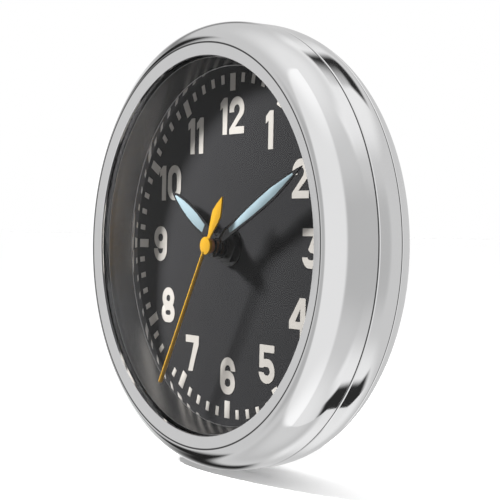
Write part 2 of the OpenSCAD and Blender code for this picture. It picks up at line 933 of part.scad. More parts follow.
module movement_screws() {
    color("silver") upright() for (p = lugs) at(p) {
        disc(0.8, housing_back + 1.4, housing_split + 4.6);
        difference() {
            disc(1.6, housing_back + 0.4, housing_back + 1.4);
            slab([0.4, 2.2], [0, 0], housing_back, housing_back + 0.8);
            slab([2.2, 0.4], [0, 0], housing_back, housing_back + 0.8);
        }
    }
}

module threaded_nose() {
    color("goldenrod") upright() difference() {
        union() {
            disc(nose_r, inner_front, nose_top);
            disc(nose_flange_r, inner_front, inner_front + nose_flange_t);
        }
        disc(hour_pipe_r + run_gap, inner_front - cut, nose_top + cut);
    }
}

module hex_nut() {
    corner_r = hex_across / 2 / cos(180 / hex_sides);
    color("silver") upright() difference() {
        translate([0, 0, washer_t]) cylinder(r = corner_r, h = nut_t, $fn = hex_sides);
        disc(nose_r, washer_t - cut, nut_top + cut);
    }
}

module brass_washer() {
    color("goldenrod") upright() tube(7, nose_r, 0, washer_t);
}

module rubber_washer() {
    color("black") upright() tube(10, nose_r, housing_front, -dial_t);
}

module circuit_board() {
    color("#2d6b3c") upright() slab([12, 17], [20.2, 3], board_z, board_z + 1);
}

module quartz_can() {
    can_r = 1.5;
    color("silver") upright() translate([20, 3.2, board_z + 1 + can_r]) rotate([-90, 0, 0]) {
        cylinder(r = can_r, h = 8);
        for (side = [-0.6, 0.6]) translate([side, 0, -2.2]) cylinder(r = 0.2, h = 2.2);
    }
}

module chip_cover() {
    color("black") upright() at([20, -2.2]) disc(2.6, board_z + 1, board_z + 2.1);
}

module coil_bobbin() {
    color("#d9d2c0") upright() difference() {
        union() {
            for (side = [-1, 1]) {
                slab([0.8, 6.2], [side * (coil_l / 2 + 0.4), coil_y], coil_z - 3.1, coil_z + 3.1);
            }
            slab([coil_l, 4], [0, coil_y], coil_z - 1.5, coil_z + 1.5);
        }
        slab([coil_l + 4, 3], [0, coil_y], coil_z - 0.5, coil_z + 0.5);
    }
}

module coil_winding() {
    winding_r = 3;
    color("#b5651d") upright() difference() {
        translate([-coil_l / 2, coil_y, coil_z]) rotate([0, 90, 0]) cylinder(r = winding_r, h = coil_l);
        slab([coil_l + 2, 4], [0, coil_y], coil_z - 1.5, coil_z + 1.5);
    }
}

module stator() {
    leg_x = 15;
    ring_out = 4.4;
    ring_in = 3.3;
    arm_w = 3;
    z0 = coil_z - 0.5;
    z1 = coil_z + 0.5;
    color("slategray") upright() {
        slab([2 * leg_x + arm_w, arm_w], [0, coil_y], z0, z1);
        for (side = [-1, 1]) {
            slab([arm_w, coil_y - rotor_at[1]], [side * leg_x, (coil_y + rotor_at[1]) / 2], z0, z1);
        }
        difference() {
            union() {
                slab([2 * leg_x + arm_w, arm_w], [0, rotor_at[1]], z0, z1);
                at(rotor_at) disc(ring_out, z0, z1);
            }
            at(rotor_at) disc(ring_in, z0 - cut, z1 + cut);
        }
    }
}

module battery() {
    color("#4b5a66") upright() translate([-battery_l / 2, battery_y, battery_z]) rotate([0, 90, 0]) {
        cylinder(r = battery_r, h = battery_l - nub_l);
        cylinder(r = 2.6, h = battery_l);
    }
}

module contact_plus() {
    x = battery_l / 2 + contact_t / 2;
    color("silver") upright() {
        slab([contact_t, 10], [x, battery_y], battery_z - 5, battery_z + 5);
        slab([0.9, 2], [x + 0.6, battery_y], battery_z - 1.4, battery_z + 1.4);
    }
}

module contact_minus() {
    x = -battery_l / 2 - contact_t / 2;
    color("silver") upright() {
        slab([contact_t, 10], [x, battery_y], battery_z - 5, battery_z + 5);
        slab([0.9, 2], [x - 0.6, battery_y], battery_z - 1.4, battery_z + 1.4);
    }
}

// ---------------------------------------------------------------- stand

module stand_bracket() {
    plate = [2 * bracket_screw_x + 6, 8];
    ear_x = leg_w / 2 + slip + ear_t / 2;
    color("silver") upright() difference() {
        union() {
            slab(plate, [0, hinge_y], cover_back - bracket_t, cover_back);
            for (side = [-1, 1]) {
                slab([ear_t, 2 * knuckle_r], [side * ear_x, hinge_y], hinge_z, cover_back);
                translate([side * ear_x - ear_t / 2, hinge_y, hinge_z]) rotate([0, 90, 0])
                    cylinder(r = knuckle_r, h = ear_t);
            }
        }
        slab([leg_w + 2 * slip, 12], [0, hinge_y], cover_back - bracket_t - cut, cover_back - tiny);
        translate([-leg_w, hinge_y, hinge_z]) rotate([0, 90, 0]) cylinder(r = pin_r, h = 2 * leg_w);
        for (side = [-1, 1]) {
            at([side * bracket_screw_x, hinge_y]) disc(1.05, cover_back - bracket_t - cut, cover_back + cut);
        }
    }
}

module bracket_screws() {
    color("silver") upright() for (side = [-1, 1]) at([side * bracket_screw_x, hinge_y]) {
        disc(1.05, cover_back - bracket_t, cover_front);
        difference() {
            disc(1.9, cover_back - bracket_t - 0.8, cover_back - bracket_t);
            slab([0.5, 2.4], [0, 0], cover_back - bracket_t - cut, cover_back - bracket_t - 0.4);
        }
    }
}

module stand_pin() {
    half = leg_w / 2 + slip + ear_t + 0.4;
    color("silver") upright() translate([-half, hinge_y, hinge_z]) rotate([0, 90, 0])
        cylinder(r = pin_r, h = 2 * half);
}

// The leg's flat plate, narrower towards its tip
module leg_plate() {
    tip_w = leg_w * 0.7;
    translate([0, 0, leg_back]) linear_extrude(leg_t) polygon([
        [-leg_w / 2, hinge_y], [leg_w / 2, hinge_y],
        [tip_w / 2, leg_end_y + 3], [-tip_w / 2, leg_end_y + 3]
    ]);
}

module stand_leg() {
    color("gainsboro") upright() difference() {
        union() {
            translate([-leg_w / 2, hinge_y, hinge_z]) rotate([0, 90, 0])
                cylinder(r = knuckle_r, h = leg_w);
            leg_plate();
        }
        translate([-leg_w, hinge_y, hinge_z]) rotate([0, 90, 0])
            cylinder(r = pin_r + run_gap, h = 2 * leg_w);
        translate([0, 0, leg_back - cut]) linear_extrude(leg_t + 2 * cut)
            translate([0, hinge_y - 28]) stadium(leg_w * 0.42, 14);
    }
}

module leg_tip() {
    sleeve = [leg_w * 0.7 + 2.6, 7];
    color("black") upright() difference() {
        slab(sleeve, [0, leg_end_y + sleeve[1] / 2], leg_back - tip_wrap, leg_back + leg_t + tip_wrap);
        leg_plate();
    }
}

bezel_ring();
case_band();
rear_ring();
crystal_gasket();
crystal();
mirror_ring();
dial();
hour_numerals();
minute_track();
foot_pad();
case_screws();
back_cover();
cover_screws();
movement_front();
movement_rear();
movement_screws();
threaded_nose();
hex_nut();
brass_washer();
rubber_washer();
circuit_board();
quartz_can();
chip_cover();
coil_bobbin();
coil_winding();
stator();
rotor();
idler_wheel();
seconds_wheel();
third_wheel();
centre_wheel();
cannon_pinion();
motion_wheel();
hour_wheel();
set_knob();
battery();
contact_plus();
contact_minus();
hour_hand();
hour_inlay();
minute_hand();
minute_inlay();
second_hand();
hour_collet();
minute_collet();
second_collet();
stand_bracket();
bracket_screws();
stand_pin();
stand_leg();
leg_tip();
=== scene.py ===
"""Round mantel clock: turned and polished case, charcoal dial under glass, hands, movement and stand."""
import json
import math

import bmesh
import bpy
from mathutils import Matrix, Vector


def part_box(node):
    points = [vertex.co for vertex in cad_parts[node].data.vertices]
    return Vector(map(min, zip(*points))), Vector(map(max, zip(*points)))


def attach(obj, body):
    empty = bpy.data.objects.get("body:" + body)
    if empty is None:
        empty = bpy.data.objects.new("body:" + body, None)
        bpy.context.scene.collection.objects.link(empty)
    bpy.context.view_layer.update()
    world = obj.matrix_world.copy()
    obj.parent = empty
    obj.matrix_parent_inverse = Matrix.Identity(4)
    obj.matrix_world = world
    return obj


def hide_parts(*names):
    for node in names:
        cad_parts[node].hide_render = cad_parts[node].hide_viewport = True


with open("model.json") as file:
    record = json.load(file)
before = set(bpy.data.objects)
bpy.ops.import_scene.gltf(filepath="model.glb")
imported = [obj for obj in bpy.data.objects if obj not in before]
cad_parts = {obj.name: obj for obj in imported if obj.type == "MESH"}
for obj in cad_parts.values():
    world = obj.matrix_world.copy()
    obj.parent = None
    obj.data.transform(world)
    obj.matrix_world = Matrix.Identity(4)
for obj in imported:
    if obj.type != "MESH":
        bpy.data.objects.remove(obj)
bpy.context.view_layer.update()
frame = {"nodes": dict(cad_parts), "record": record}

bl_info = {
    "name": "Mantel Clock",
    "version": (1, 0, 0),
    "blender": (4, 5, 0),
    "location": "3D View > Sidebar > Clock",
    "description": "Builds the visible pieces of a round mantel clock around its frame",
    "category": "Add Mesh",
}

MM = 0.001
DIAL_LOW, DIAL_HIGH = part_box("dial")
FACE_Y = DIAL_LOW[1]
CENTRE_Z = (DIAL_LOW[2] + DIAL_HIGH[2]) / 2
BEZEL_LOW, BEZEL_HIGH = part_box("bezel_ring")
CASE_R = BEZEL_HIGH[0]
RIM_FRONT = FACE_Y - BEZEL_LOW[1]
RIM_BACK = FACE_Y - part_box("rear_ring")[1][1]

TURNED_SEGMENTS = 240
SHOULDER_STEPS = 36
REAR_ARC = math.radians(65)
NEARLY_STRAIGHT = math.radians(176)
SUPPORT_GAP = 0.1 * MM
COVER_SCREWS = 6
SCREW_SIDES = 64
BATTERY_SIDES = 96


# ---------------------------------------------------------------- sizes and colours


def size(label, text, millimetres):
    return bpy.props.FloatProperty(
        name=label,
        description=text,
        default=millimetres * MM,
        min=0.0,
        precision=4,
        unit="LENGTH",
        subtype="DISTANCE",
    )


def colour(label, text, rgb):
    return bpy.props.FloatVectorProperty(
        name=label, description=text, default=rgb, min=0.0, max=1.0, size=3, subtype="COLOR"
    )


class ClockSizes(bpy.types.PropertyGroup):
    """Sizes of the clock's turned and bevelled pieces"""

    rim_w: size("Rim width", "Width of the rim around the glass", 12.2)
    face_w: size("Face width", "Width of the sloping face next to the glass", 4.3)
    face_drop: size("Face drop", "How far the sloping face falls towards the glass", 0.8)
    shoulder_z: size("Shoulder depth", "Height where the front curve meets the straight side", 3.0)
    rear_flat: size("Straight side", "Depth behind the dial where the rear curve starts", 5.0)
    rear_drop: size("Rear drop", "How far the rear curve narrows the case", 5.9)
    seam_front: size("Front seam", "Depth of the seam between bezel and band", 1.1)
    band_w: size("Band width", "Width of the middle band", 10.2)
    seam_bevel: size("Seam bevel", "Bevel on each side of a seam", 0.5)
    wall: size("Case wall", "Wall thickness of the case rings", 3.0)
    lip: size("Lip", "Thickness of the lip in front of the glass", 1.2)
    seat: size("Glass seat", "How far the glass reaches under the lip", 2.6)
    mirror_slope: size("Mirror slope", "How far the mirror ring narrows towards the dial", 2.8)
    mirror_foot: size("Mirror foot", "Height of the mirror-bright foot of that ring", 2.1)
    # The line is painted shade: the metal's base colour goes near black at the crest edge and in the seams.
    shade_line_w: size("Line width", "Width of the dark line at the crest and in the seams", 0.55)
    bead: size("Bead", "How far the bead above that foot stands out", 0.14)
    edge: size("Edge rounding", "Radius of the broken edges on polished metal", 0.22)
    small_edge: size("Small edge", "Bevel on the small metal and plastic pieces", 0.12)
    mark_inset: size("Mark inset", "Gap between the marks and the mirror ring", 1.8)
    hour_mark_l: size("Hour mark length", "Length of an hour mark", 6.0)
    hour_mark_w: size("Hour mark width", "Width of an hour mark", 3.1)
    minute_mark_l: size("Minute mark length", "Length of a minute mark", 3.2)
    minute_mark_w: size("Minute mark width", "Width of a minute mark", 1.9)
    screw_r: size("Screw radius", "Radius of a cover screw's head", 2.3)
    screw_h: size("Screw height", "Height of a cover screw's head", 0.8)


class ClockColours(bpy.types.PropertyGroup):
    """Colours of the clock's finishes"""

    metal: colour("Polished metal", "Nickel plate on the case", (0.93, 0.93, 0.935))
    mirror: colour("Mirror ring", "Polished ring between glass and dial", (0.9, 0.9, 0.91))
    dial: colour("Dial", "Matte charcoal paint", (0.031, 0.031, 0.0325))
    print: colour("Print", "Warm white of the numerals and marks", (0.50, 0.475, 0.44))
    hands: colour("Hands", "Black enamel on the hour and minute hands", (0.006, 0.006, 0.007))
    inlay: colour("Inlay", "Pale blue paint in the hands", (0.27, 0.36, 0.40))
    second: colour("Second hand", "Orange-yellow enamel", (0.56, 0.30, 0.0045))
    cover: colour("Back cover", "Dark powder coat", (0.035, 0.035, 0.038))
    sleeve: colour("Battery sleeve", "Film around the battery", (0.03, 0.10, 0.06))


def sizes():
    return bpy.context.scene.clock_sizes


def colours():
    return bpy.context.scene.clock_colours


# ---------------------------------------------------------------- materials


class Field:
    """A shader value. Sums and products of fields and numbers add their own nodes."""

    def __init__(self, recipe, socket):
        self.recipe = recipe
        self.socket = socket

    def math(self, operation, *values):
        return self.recipe.node("ShaderNodeMath", {"operation": operation}, dict(enumerate(values)))

    def __add__(self, other):
        return self.math("ADD", self, other)

    def __radd__(self, other):
        return self.math("ADD", other, self)

    def __sub__(self, other):
        return self.math("SUBTRACT", self, other)

    def __rsub__(self, other):
        return self.math("SUBTRACT", other, self)

    def __mul__(self, other):
        return self.math("MULTIPLY", self, other)

    def __rmul__(self, other):
        return self.math("MULTIPLY", other, self)

    def __pow__(self, other):
        return self.math("POWER", self, other)

    def step(self, low, high):
        """0 below low, 1 above high, and a smooth ramp between"""
        return self.recipe.node(
            "ShaderNodeMapRange",
            {"interpolation_type": "SMOOTHSTEP"},
            {"Value": self, "From Min": low, "From Max": high},
        )


class Recipe:
    """A node tree under construction"""

    def __init__(self, tree):
        self.tree = tree
        tree.nodes.clear()

    def node(self, kind, settings=None, sockets=None, out=0):
        """A new node: its settings are set first, then the values or links of its sockets"""
        made = self.tree.nodes.new(kind)
        for key, value in (settings or {}).items():
            setattr(made, key, value)
        for key, value in (sockets or {}).items():
            self.feed(made.inputs[key], value)
        return Field(self, made.outputs[out]) if made.outputs else None

    def feed(self, socket, value):
        if isinstance(value, Field):
            self.tree.links.new(value.socket, socket)
        elif hasattr(value, "__len__") and len(value) == 3 and socket.type == "RGBA":
            socket.default_value = (*value, 1.0)
        else:
            socket.default_value = value

    def place(self, centre=(0, 0, 0), scale=(1, 1, 1)):
        """Object coordinates, measured from a centre"""
        coords = self.node("ShaderNodeTexCoord", out=3)
        moved = self.node(
            "ShaderNodeVectorMath",
            {"operation": "SUBTRACT"},
            {0: coords, 1: centre},
        )
        return self.node(
            "ShaderNodeMapping",
            {"vector_type": "POINT"},
            {"Vector": moved, "Scale": scale},
        )

    def part(self, vector, axis):
        return self.node("ShaderNodeSeparateXYZ", None, {0: vector}, out="XYZ".index(axis))

    def noise(self, scale, detail=2.0, roughness=0.5, vector=None):
        return self.node(
            "ShaderNodeTexNoise",
            {"noise_dimensions": "3D"},
            {
                "Vector": vector or self.place(),
                "Scale": scale,
                "Detail": detail,
                "Roughness": roughness,
            },
        )

    def mix(self, amount, first, second):
        return self.node(
            "ShaderNodeMix",
            {"data_type": "RGBA"},
            {"Factor": amount, 6: first, 7: second},
            out=2,
        )

    def bump(self, height, depth):
        return self.node(
            "ShaderNodeBump", None, {"Height": height, "Distance": depth, "Strength": 1.0}
        )


class Finish(Recipe):
    """A material with one main shader"""

    def __init__(self, name, rgb):
        self.material = bpy.data.materials.new(name)
        self.material.use_nodes = True
        self.material.diffuse_color = (*rgb, 1.0)
        super().__init__(self.material.node_tree)

    def coat(self, **sockets):
        named = {key.replace("_", " "): value for key, value in sockets.items()}
        shader = self.node("ShaderNodeBsdfPrincipled", None, named)
        self.node("ShaderNodeOutputMaterial", None, {"Surface": shader})
        return self.material


def darker(rgb, share):
    return tuple(channel * share for channel in rgb)


def painted_groove_shade(finish):
    """1 in the fine line around the bezel's crest and in the two seams of the case, 0 elsewhere: the mask of
    a painted shade line
    """
    s = sizes()
    place = finish.place(centre=(0, FACE_Y, CENTRE_Z))
    depth = finish.part(place, "Y")
    flat = finish.node("ShaderNodeVectorMath", {"operation": "MULTIPLY"}, {0: place, 1: (1, 0, 1)})
    radius = finish.node("ShaderNodeVectorMath", {"operation": "LENGTH"}, {0: flat}, out=1)
    half = s.shade_line_w / 2

    def line(value, middle):
        away = finish.node("ShaderNodeMath", {"operation": "ABSOLUTE"}, {0: value - middle})
        return 1.0 - away.step(half * 0.7, half * 1.3)

    front_only = 1.0 - depth.step(-9 * MM, -8 * MM)
    outside_only = radius.step(CASE_R * 0.85, CASE_R * 0.86)
    crest = line(radius, CASE_R - s.rim_w + s.face_w)
    seams = line(depth, s.seam_front) + line(depth, s.seam_front + s.band_w)
    return crest * front_only + seams * outside_only


def polished_metal(name, rgb, rough, haze):
    """Buffed plate: nearly a mirror, with faint haze and buffing lines that follow the turning, and a
    painted shade line at the crest and in the seams
    """
    finish = Finish(name, rgb)
    painted_shade_line = painted_groove_shade(finish)
    haze_map = finish.noise(38.0, 3.0, 0.6).step(0.42, 0.78)
    around = finish.place(centre=(0, 0, CENTRE_Z), scale=(1, 9, 1))
    lines = finish.noise(900.0, 2.0, 0.65, around)
    plate = finish.mix(haze_map * 0.5, rgb, darker(rgb, 0.955))
    # Painted shade: along the line at the crest and in the seams the base colour is mixed to near black.
    return finish.coat(
        Base_Color=finish.mix(painted_shade_line * 0.92, plate, (0.02, 0.02, 0.02)),
        Metallic=1.0,
        Roughness=rough + haze_map * haze + lines * (haze * 0.4) + painted_shade_line * 0.3,
        Normal=finish.bump(lines, 0.0000012),
    )


def trim_metal(name, rgb):
    """The ring between glass and dial: a mirror at its foot, and above the bead a rougher band whose base
    colour is darkened as painted shade
    """
    finish = Finish(name, rgb)
    height = FACE_Y - finish.part(finish.place(), "Y")
    foot = sizes().mirror_foot
    satin_and_painted_shade = height.step(foot, foot + 0.15 * MM)
    grain = finish.noise(1400.0, 2.0, 0.6, finish.place(centre=(0, 0, CENTRE_Z), scale=(1, 0.1, 1)))
    # Painted shade: above the bead the base colour is darkened to 0.42 of the ring's colour.
    return finish.coat(
        Base_Color=finish.mix(satin_and_painted_shade, rgb, darker(rgb, 0.42)),
        Metallic=1.0,
        Roughness=0.02 + satin_and_painted_shade * 0.2 + satin_and_painted_shade * grain * 0.05,
    )


def brushed_steel(name, rgb, rough):
    """Plated steel with a fine grain along X and faint clouds"""
    finish = Finish(name, rgb)
    grain = finish.noise(700.0, 4.0, 0.7, finish.place(scale=(0.08, 1, 1)))
    cloud = finish.noise(90.0, 2.0)
    return finish.coat(
        Base_Color=finish.mix(cloud.step(0.35, 0.7) * 0.6, rgb, darker(rgb, 0.8)),
        Metallic=1.0,
        Roughness=rough + grain * 0.16 + cloud * 0.06,
        Normal=finish.bump(grain, 0.000004),
    )


def turned_metal(name, rgb, rough):
    """Lathe-turned brass or copper with rings across the axis and darker spots"""
    finish = Finish(name, rgb)
    rings = finish.noise(2600.0, 1.0, 0.5, finish.place(scale=(0.05, 1, 0.05)))
    spots = finish.noise(320.0, 3.0).step(0.45, 0.75)
    return finish.coat(
        Base_Color=finish.mix(spots * 0.55, rgb, darker(rgb, 0.6)),
        Metallic=1.0,
        Roughness=rough + rings * 0.12 + spots * 0.1,
        Normal=finish.bump(rings, 0.000005),
    )


def matte_paint(name, rgb, grain_size, rough, depth, sheen=0.4):
    """Fine-grained paint: a slightly mottled colour and a grain in the surface"""
    finish = Finish(name, rgb)
    grain = finish.noise(1.0 / grain_size, 2.0, 0.6)
    mottle = finish.noise(60.0, 3.0).step(0.3, 0.7)
    fleck = grain.step(0.5, 0.78)
    light = tuple(min(1.0, channel * 1.35 + 0.003) for channel in rgb)
    base = finish.mix(mottle * 0.5, rgb, darker(rgb, 0.88))
    return finish.coat(
        Base_Color=finish.mix(fleck * 0.5, base, light),
        Roughness=rough + grain * 0.1 - mottle * 0.04,
        Specular_IOR_Level=sheen,
        Normal=finish.bump(grain, depth),
    )


def gloss_paint(name, rgb, rough):
    """Smooth enamel or ink with a slight orange-peel and a little variation"""
    finish = Finish(name, rgb)
    peel = finish.noise(900.0, 2.0, 0.5)
    cloud = finish.noise(140.0, 3.0).step(0.35, 0.75)
    return finish.coat(
        Base_Color=finish.mix(cloud * 0.35, rgb, darker(rgb, 0.86)),
        Roughness=rough + cloud * 0.08,
        Normal=finish.bump(peel, 0.000003),
    )


def moulded_plastic(name, rgb, rough):
    """Spark-eroded texture, with a little variation where the plastic flowed"""
    finish = Finish(name, rgb)
    spark = finish.noise(2200.0, 2.0, 0.6)
    flow = finish.noise(45.0, 3.0).step(0.3, 0.75)
    return finish.coat(
        Base_Color=finish.mix(flow * 0.5, rgb, darker(rgb, 0.82)),
        Roughness=rough + spark * 0.14,
        Normal=finish.bump(spark, 0.00001),
    )


def moulded_rubber(name, rgb):
    """Matte rubber with some dust on it"""
    finish = Finish(name, rgb)
    grain = finish.noise(1500.0, 3.0, 0.6)
    dust = finish.noise(120.0, 3.0).step(0.5, 0.8)
    return finish.coat(
        Base_Color=finish.mix(dust * 0.4, rgb, (0.07, 0.068, 0.065)),
        Roughness=0.72 + grain * 0.15,
        Normal=finish.bump(grain, 0.00002),
    )


def inlay_paint(name, rgb):
    """Luminous paint: slightly grainy, with paler clouds"""
    finish = Finish(name, rgb)
    grain = finish.noise(1600.0, 3.0, 0.6)
    cloud = finish.noise(170.0, 2.0).step(0.35, 0.7)
    pale = tuple(min(1.0, channel * 1.12) for channel in rgb)
    return finish.coat(
        Base_Color=finish.mix(cloud * 0.6, rgb, pale),
        Roughness=0.5 + grain * 0.2,
        Normal=finish.bump(grain, 0.00001),
    )


def clear_glass(name):
    """Thin flat glass: it lets everything through but what it mirrors at a slant"""
    finish = Finish(name, (1, 1, 1))
    dust = finish.noise(420.0, 4.0, 0.7).step(0.62, 0.8)
    slant = finish.node("ShaderNodeLayerWeight", None, {"Blend": 0.5}, out=1)
    return finish.coat(
        Base_Color=(1.0, 1.0, 1.0),
        Metallic=1.0,
        Roughness=0.012 + dust * 0.03,
        Alpha=slant**5 * 0.5 + 0.003,
    )


def circuit_mask(name):
    """Green lacquer over a pattern of tracks"""
    finish = Finish(name, (0.02, 0.12, 0.05))
    coords = finish.place(scale=(520, 520, 520))
    tracks = finish.node("ShaderNodeTexBrick", None, {"Vector": coords, "Scale": 1.0})
    grey = finish.node("ShaderNodeRGBToBW", None, {0: tracks})
    return finish.coat(
        Base_Color=finish.mix(grey.step(0.3, 0.6), (0.015, 0.09, 0.035), (0.03, 0.18, 0.07)),
        Roughness=0.28 + grey * 0.1,
        Normal=finish.bump(grey, 0.00002),
    )


def wound_wire(name, rgb):
    """Fine enamelled wire, wound side by side along X, with painted shade in the valleys between the turns
    """
    finish = Finish(name, rgb)
    along = finish.part(finish.place(), "X")
    turns = finish.node("ShaderNodeMath", {"operation": "SINE"}, {0: along * 16000.0})
    ridge_and_valley_shade = turns * 0.5 + 0.5
    # Painted shade: the base colour darkens to 0.35 of the wire's colour in the valleys between turns.
    return finish.coat(
        Base_Color=finish.mix(ridge_and_valley_shade, darker(rgb, 0.35), rgb),
        Metallic=0.9,
        Roughness=0.4 - ridge_and_valley_shade * 0.15,
        Normal=finish.bump(ridge_and_valley_shade, 0.00008),
    )


def battery_finish(name, rgb):
    """A film sleeve with a paler band at one end, and bare metal at both ends"""
    low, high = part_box("battery")
    finish = Finish(name, rgb)
    along = finish.part(finish.place(), "X")
    bare = 1.0 - along.step(low[0] + 1.1 * MM, low[0] + 1.3 * MM) * (
        1.0 - along.step(high[0] - 2.4 * MM, high[0] - 2.2 * MM)
    )
    band = along.step(high[0] - 13.2 * MM, high[0] - 13.0 * MM)
    scuff = finish.noise(260.0, 4.0, 0.7).step(0.55, 0.8)
    film = finish.mix(band, rgb, (0.42, 0.43, 0.41))
    worn = finish.mix(scuff * 0.35, film, (0.4, 0.4, 0.4))
    return finish.coat(
        Base_Color=finish.mix(bare, worn, (0.62, 0.62, 0.6)),
        Metallic=bare,
        Roughness=0.26 + scuff * 0.2,
        Normal=finish.bump(scuff, 0.00001),
    )


def make_finishes():
    """One material for each finish of the clock, by the record's slot name"""
    tone = colours()
    return {
        "polished_case": polished_metal("polished_nickel", tone.metal, 0.035, 0.05),
        "mirror_trim": trim_metal("ring_between_glass_and_dial", tone.mirror),
        "clear_glass": clear_glass("flat_glass"),
        "dial_face": matte_paint("charcoal_dial_paint", tone.dial, 0.22 * MM, 0.5, 0.000008, 0.03),
        "dial_print": gloss_paint("warm_white_ink", tone.print, 0.42),
        "hand_black": gloss_paint("black_enamel", tone.hands, 0.12),
        "hand_inlay": inlay_paint("pale_blue_inlay", tone.inlay),
        "second_yellow": gloss_paint("yellow_enamel", tone.second, 0.32),
        "brass_parts": turned_metal("turned_brass", (0.60, 0.50, 0.38), 0.16),
        "copper_parts": turned_metal("turned_copper", (0.74, 0.36, 0.17), 0.34),
        "steel_parts": brushed_steel("plated_steel", (0.66, 0.66, 0.67), 0.2),
        "movement_black": moulded_plastic("black_housing_plastic", (0.022, 0.022, 0.024), 0.42),
        "gear_white": moulded_plastic("cream_gear_plastic", (0.78, 0.74, 0.64), 0.34),
        "cover_dark": matte_paint("dark_powder_coat", tone.cover, 0.5 * MM, 0.5, 0.00006),
        "soft_rubber": moulded_rubber("black_rubber", (0.02, 0.02, 0.021)),
        "board_green": circuit_mask("green_circuit_mask"),
        "battery_wrap": battery_finish("battery_sleeve", tone.sleeve),
        "coil_copper": wound_wire("enamelled_wire", (0.55, 0.22, 0.08)),
    }


FINISHES = {}


# ---------------------------------------------------------------- meshes


def spot(x, y, z):
    """A point of the dial's own frame (x to three, y to twelve, z to the front), in the row's frame"""
    return Vector((x, FACE_Y - z, CENTRE_Z + y))


def link(name, mesh):
    piece = bpy.data.objects.new(name, mesh)
    bpy.context.scene.collection.objects.link(piece)
    return piece


def baked(piece):
    """The piece with its modifiers turned into plain mesh"""
    bpy.context.view_layer.update()
    graph = bpy.context.evaluated_depsgraph_get()
    mesh = bpy.data.meshes.new_from_object(piece.evaluated_get(graph))
    mesh.name = piece.name
    piece.modifiers.clear()
    piece.data = mesh
    return piece


def finish_piece(piece, body, slot_name, nodes):
    """Gives a finished piece its material and its body, and hides the frame nodes that it stands for"""
    piece.data.materials.clear()
    piece.data.materials.append(FINISHES[slot_name])
    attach(piece, body)
    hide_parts(*nodes)


def smooth_by_angle(bm, degrees):
    limit = math.radians(degrees)
    for face in bm.faces:
        face.smooth = True
    for edge in bm.edges:
        if len(edge.link_faces) == 2:
            edge.smooth = edge.calc_face_angle(0.0) < limit


def rounded(corners, steps=4):
    """A closed outline through (r, z, radius) corners, each turned into an arc of that radius.

    A support point just beside each arc keeps the shading of the flat next to it flat.
    """
    outline = []
    count = len(corners)
    for index, (x, y, radius) in enumerate(corners):
        here = Vector((x, y))
        before = Vector(corners[index - 1][:2]) - here
        after = Vector(corners[(index + 1) % count][:2]) - here
        if radius <= 0.0 or before.length < 1e-9 or after.length < 1e-9:
            outline.append(here)
            continue
        turn = before.angle(after)
        if turn > NEARLY_STRAIGHT:
            outline.append(here)
            continue
        room_for_it = 0.45 * min(before.length, after.length)
        reach = min(radius / math.tan(turn / 2), room_for_it)
        radius_now = reach * math.tan(turn / 2)
        start = here + before.normalized() * reach
        end = here + after.normalized() * reach
        middle = here + (before.normalized() + after.normalized()).normalized() * (
            radius_now / math.sin(turn / 2)
        )
        beside = min(SUPPORT_GAP, reach * 0.1)
        outline.append(start + before.normalized() * beside)
        first = start - middle
        last = end - middle
        sweep = first.angle_signed(last)
        for step in range(steps + 1):
            angle = -sweep * step / steps
            spun = Matrix.Rotation(angle, 2) @ first
            outline.append(middle + spun)
        outline.append(end + after.normalized() * beside)
    return outline


def new_tree(name, inputs):
    """An empty geometry tree with named inputs: (name, socket type, default)"""
    tree = bpy.data.node_groups.new(name, "GeometryNodeTree")
    face = tree.interface
    face.new_socket("Geometry", in_out="INPUT", socket_type="NodeSocketGeometry")
    for label, kind, default in inputs:
        socket = face.new_socket(label, in_out="INPUT", socket_type=kind)
        if default is not None:
            socket.default_value = default
    face.new_socket("Geometry", in_out="OUTPUT", socket_type="NodeSocketGeometry")
    return tree


class Wiring:
    """Adds and joins the nodes of one geometry tree"""

    def __init__(self, tree):
        self.tree = tree
        self.given = tree.nodes.new("NodeGroupInput").outputs

    def node(self, kind, sockets=None, out=0, **settings):
        made = self.tree.nodes.new(kind)
        for key, value in settings.items():
            setattr(made, key, value)
        for key, value in (sockets or {}).items():
            if isinstance(value, bpy.types.NodeSocket):
                self.tree.links.new(value, made.inputs[key])
            else:
                made.inputs[key].default_value = value
        return made.outputs[out]

    def close(self, geometry, material):
        """Realize Instances and Set Material, then the tree's output"""
        solid = self.node("GeometryNodeRealizeInstances", {0: geometry})
        dressed = self.node("GeometryNodeSetMaterial", {"Geometry": solid, "Material": material})
        end = self.tree.nodes.new("NodeGroupOutput")
        self.tree.links.new(dressed, end.inputs[0])


def turned_tree():
    """Turns a closed outline about the clock's axis"""
    tree = new_tree(
        "turned_ring",
        [
            ("Radius", "NodeSocketFloat", CASE_R),
            ("Segments", "NodeSocketInt", TURNED_SEGMENTS),
            ("Axis Height", "NodeSocketFloat", CENTRE_Z),
            ("Material", "NodeSocketMaterial", None),
        ],
    )
    wiring = Wiring(tree)
    given = wiring.given
    outline = wiring.node("GeometryNodeMeshToCurve", {0: given["Geometry"]})
    circle = wiring.node(
        "GeometryNodeCurvePrimitiveCircle",
        {"Radius": given["Radius"], "Resolution": given["Segments"]},
    )
    ring = wiring.node("GeometryNodeCurveToMesh", {"Curve": circle, "Profile Curve": outline})
    height = wiring.node("ShaderNodeCombineXYZ", {"Z": given["Axis Height"]})
    upright = wiring.node(
        "GeometryNodeTransform",
        {"Geometry": ring, "Translation": height, "Rotation": (math.pi / 2, 0, 0)},
    )
    wiring.close(upright, given["Material"])
    return tree


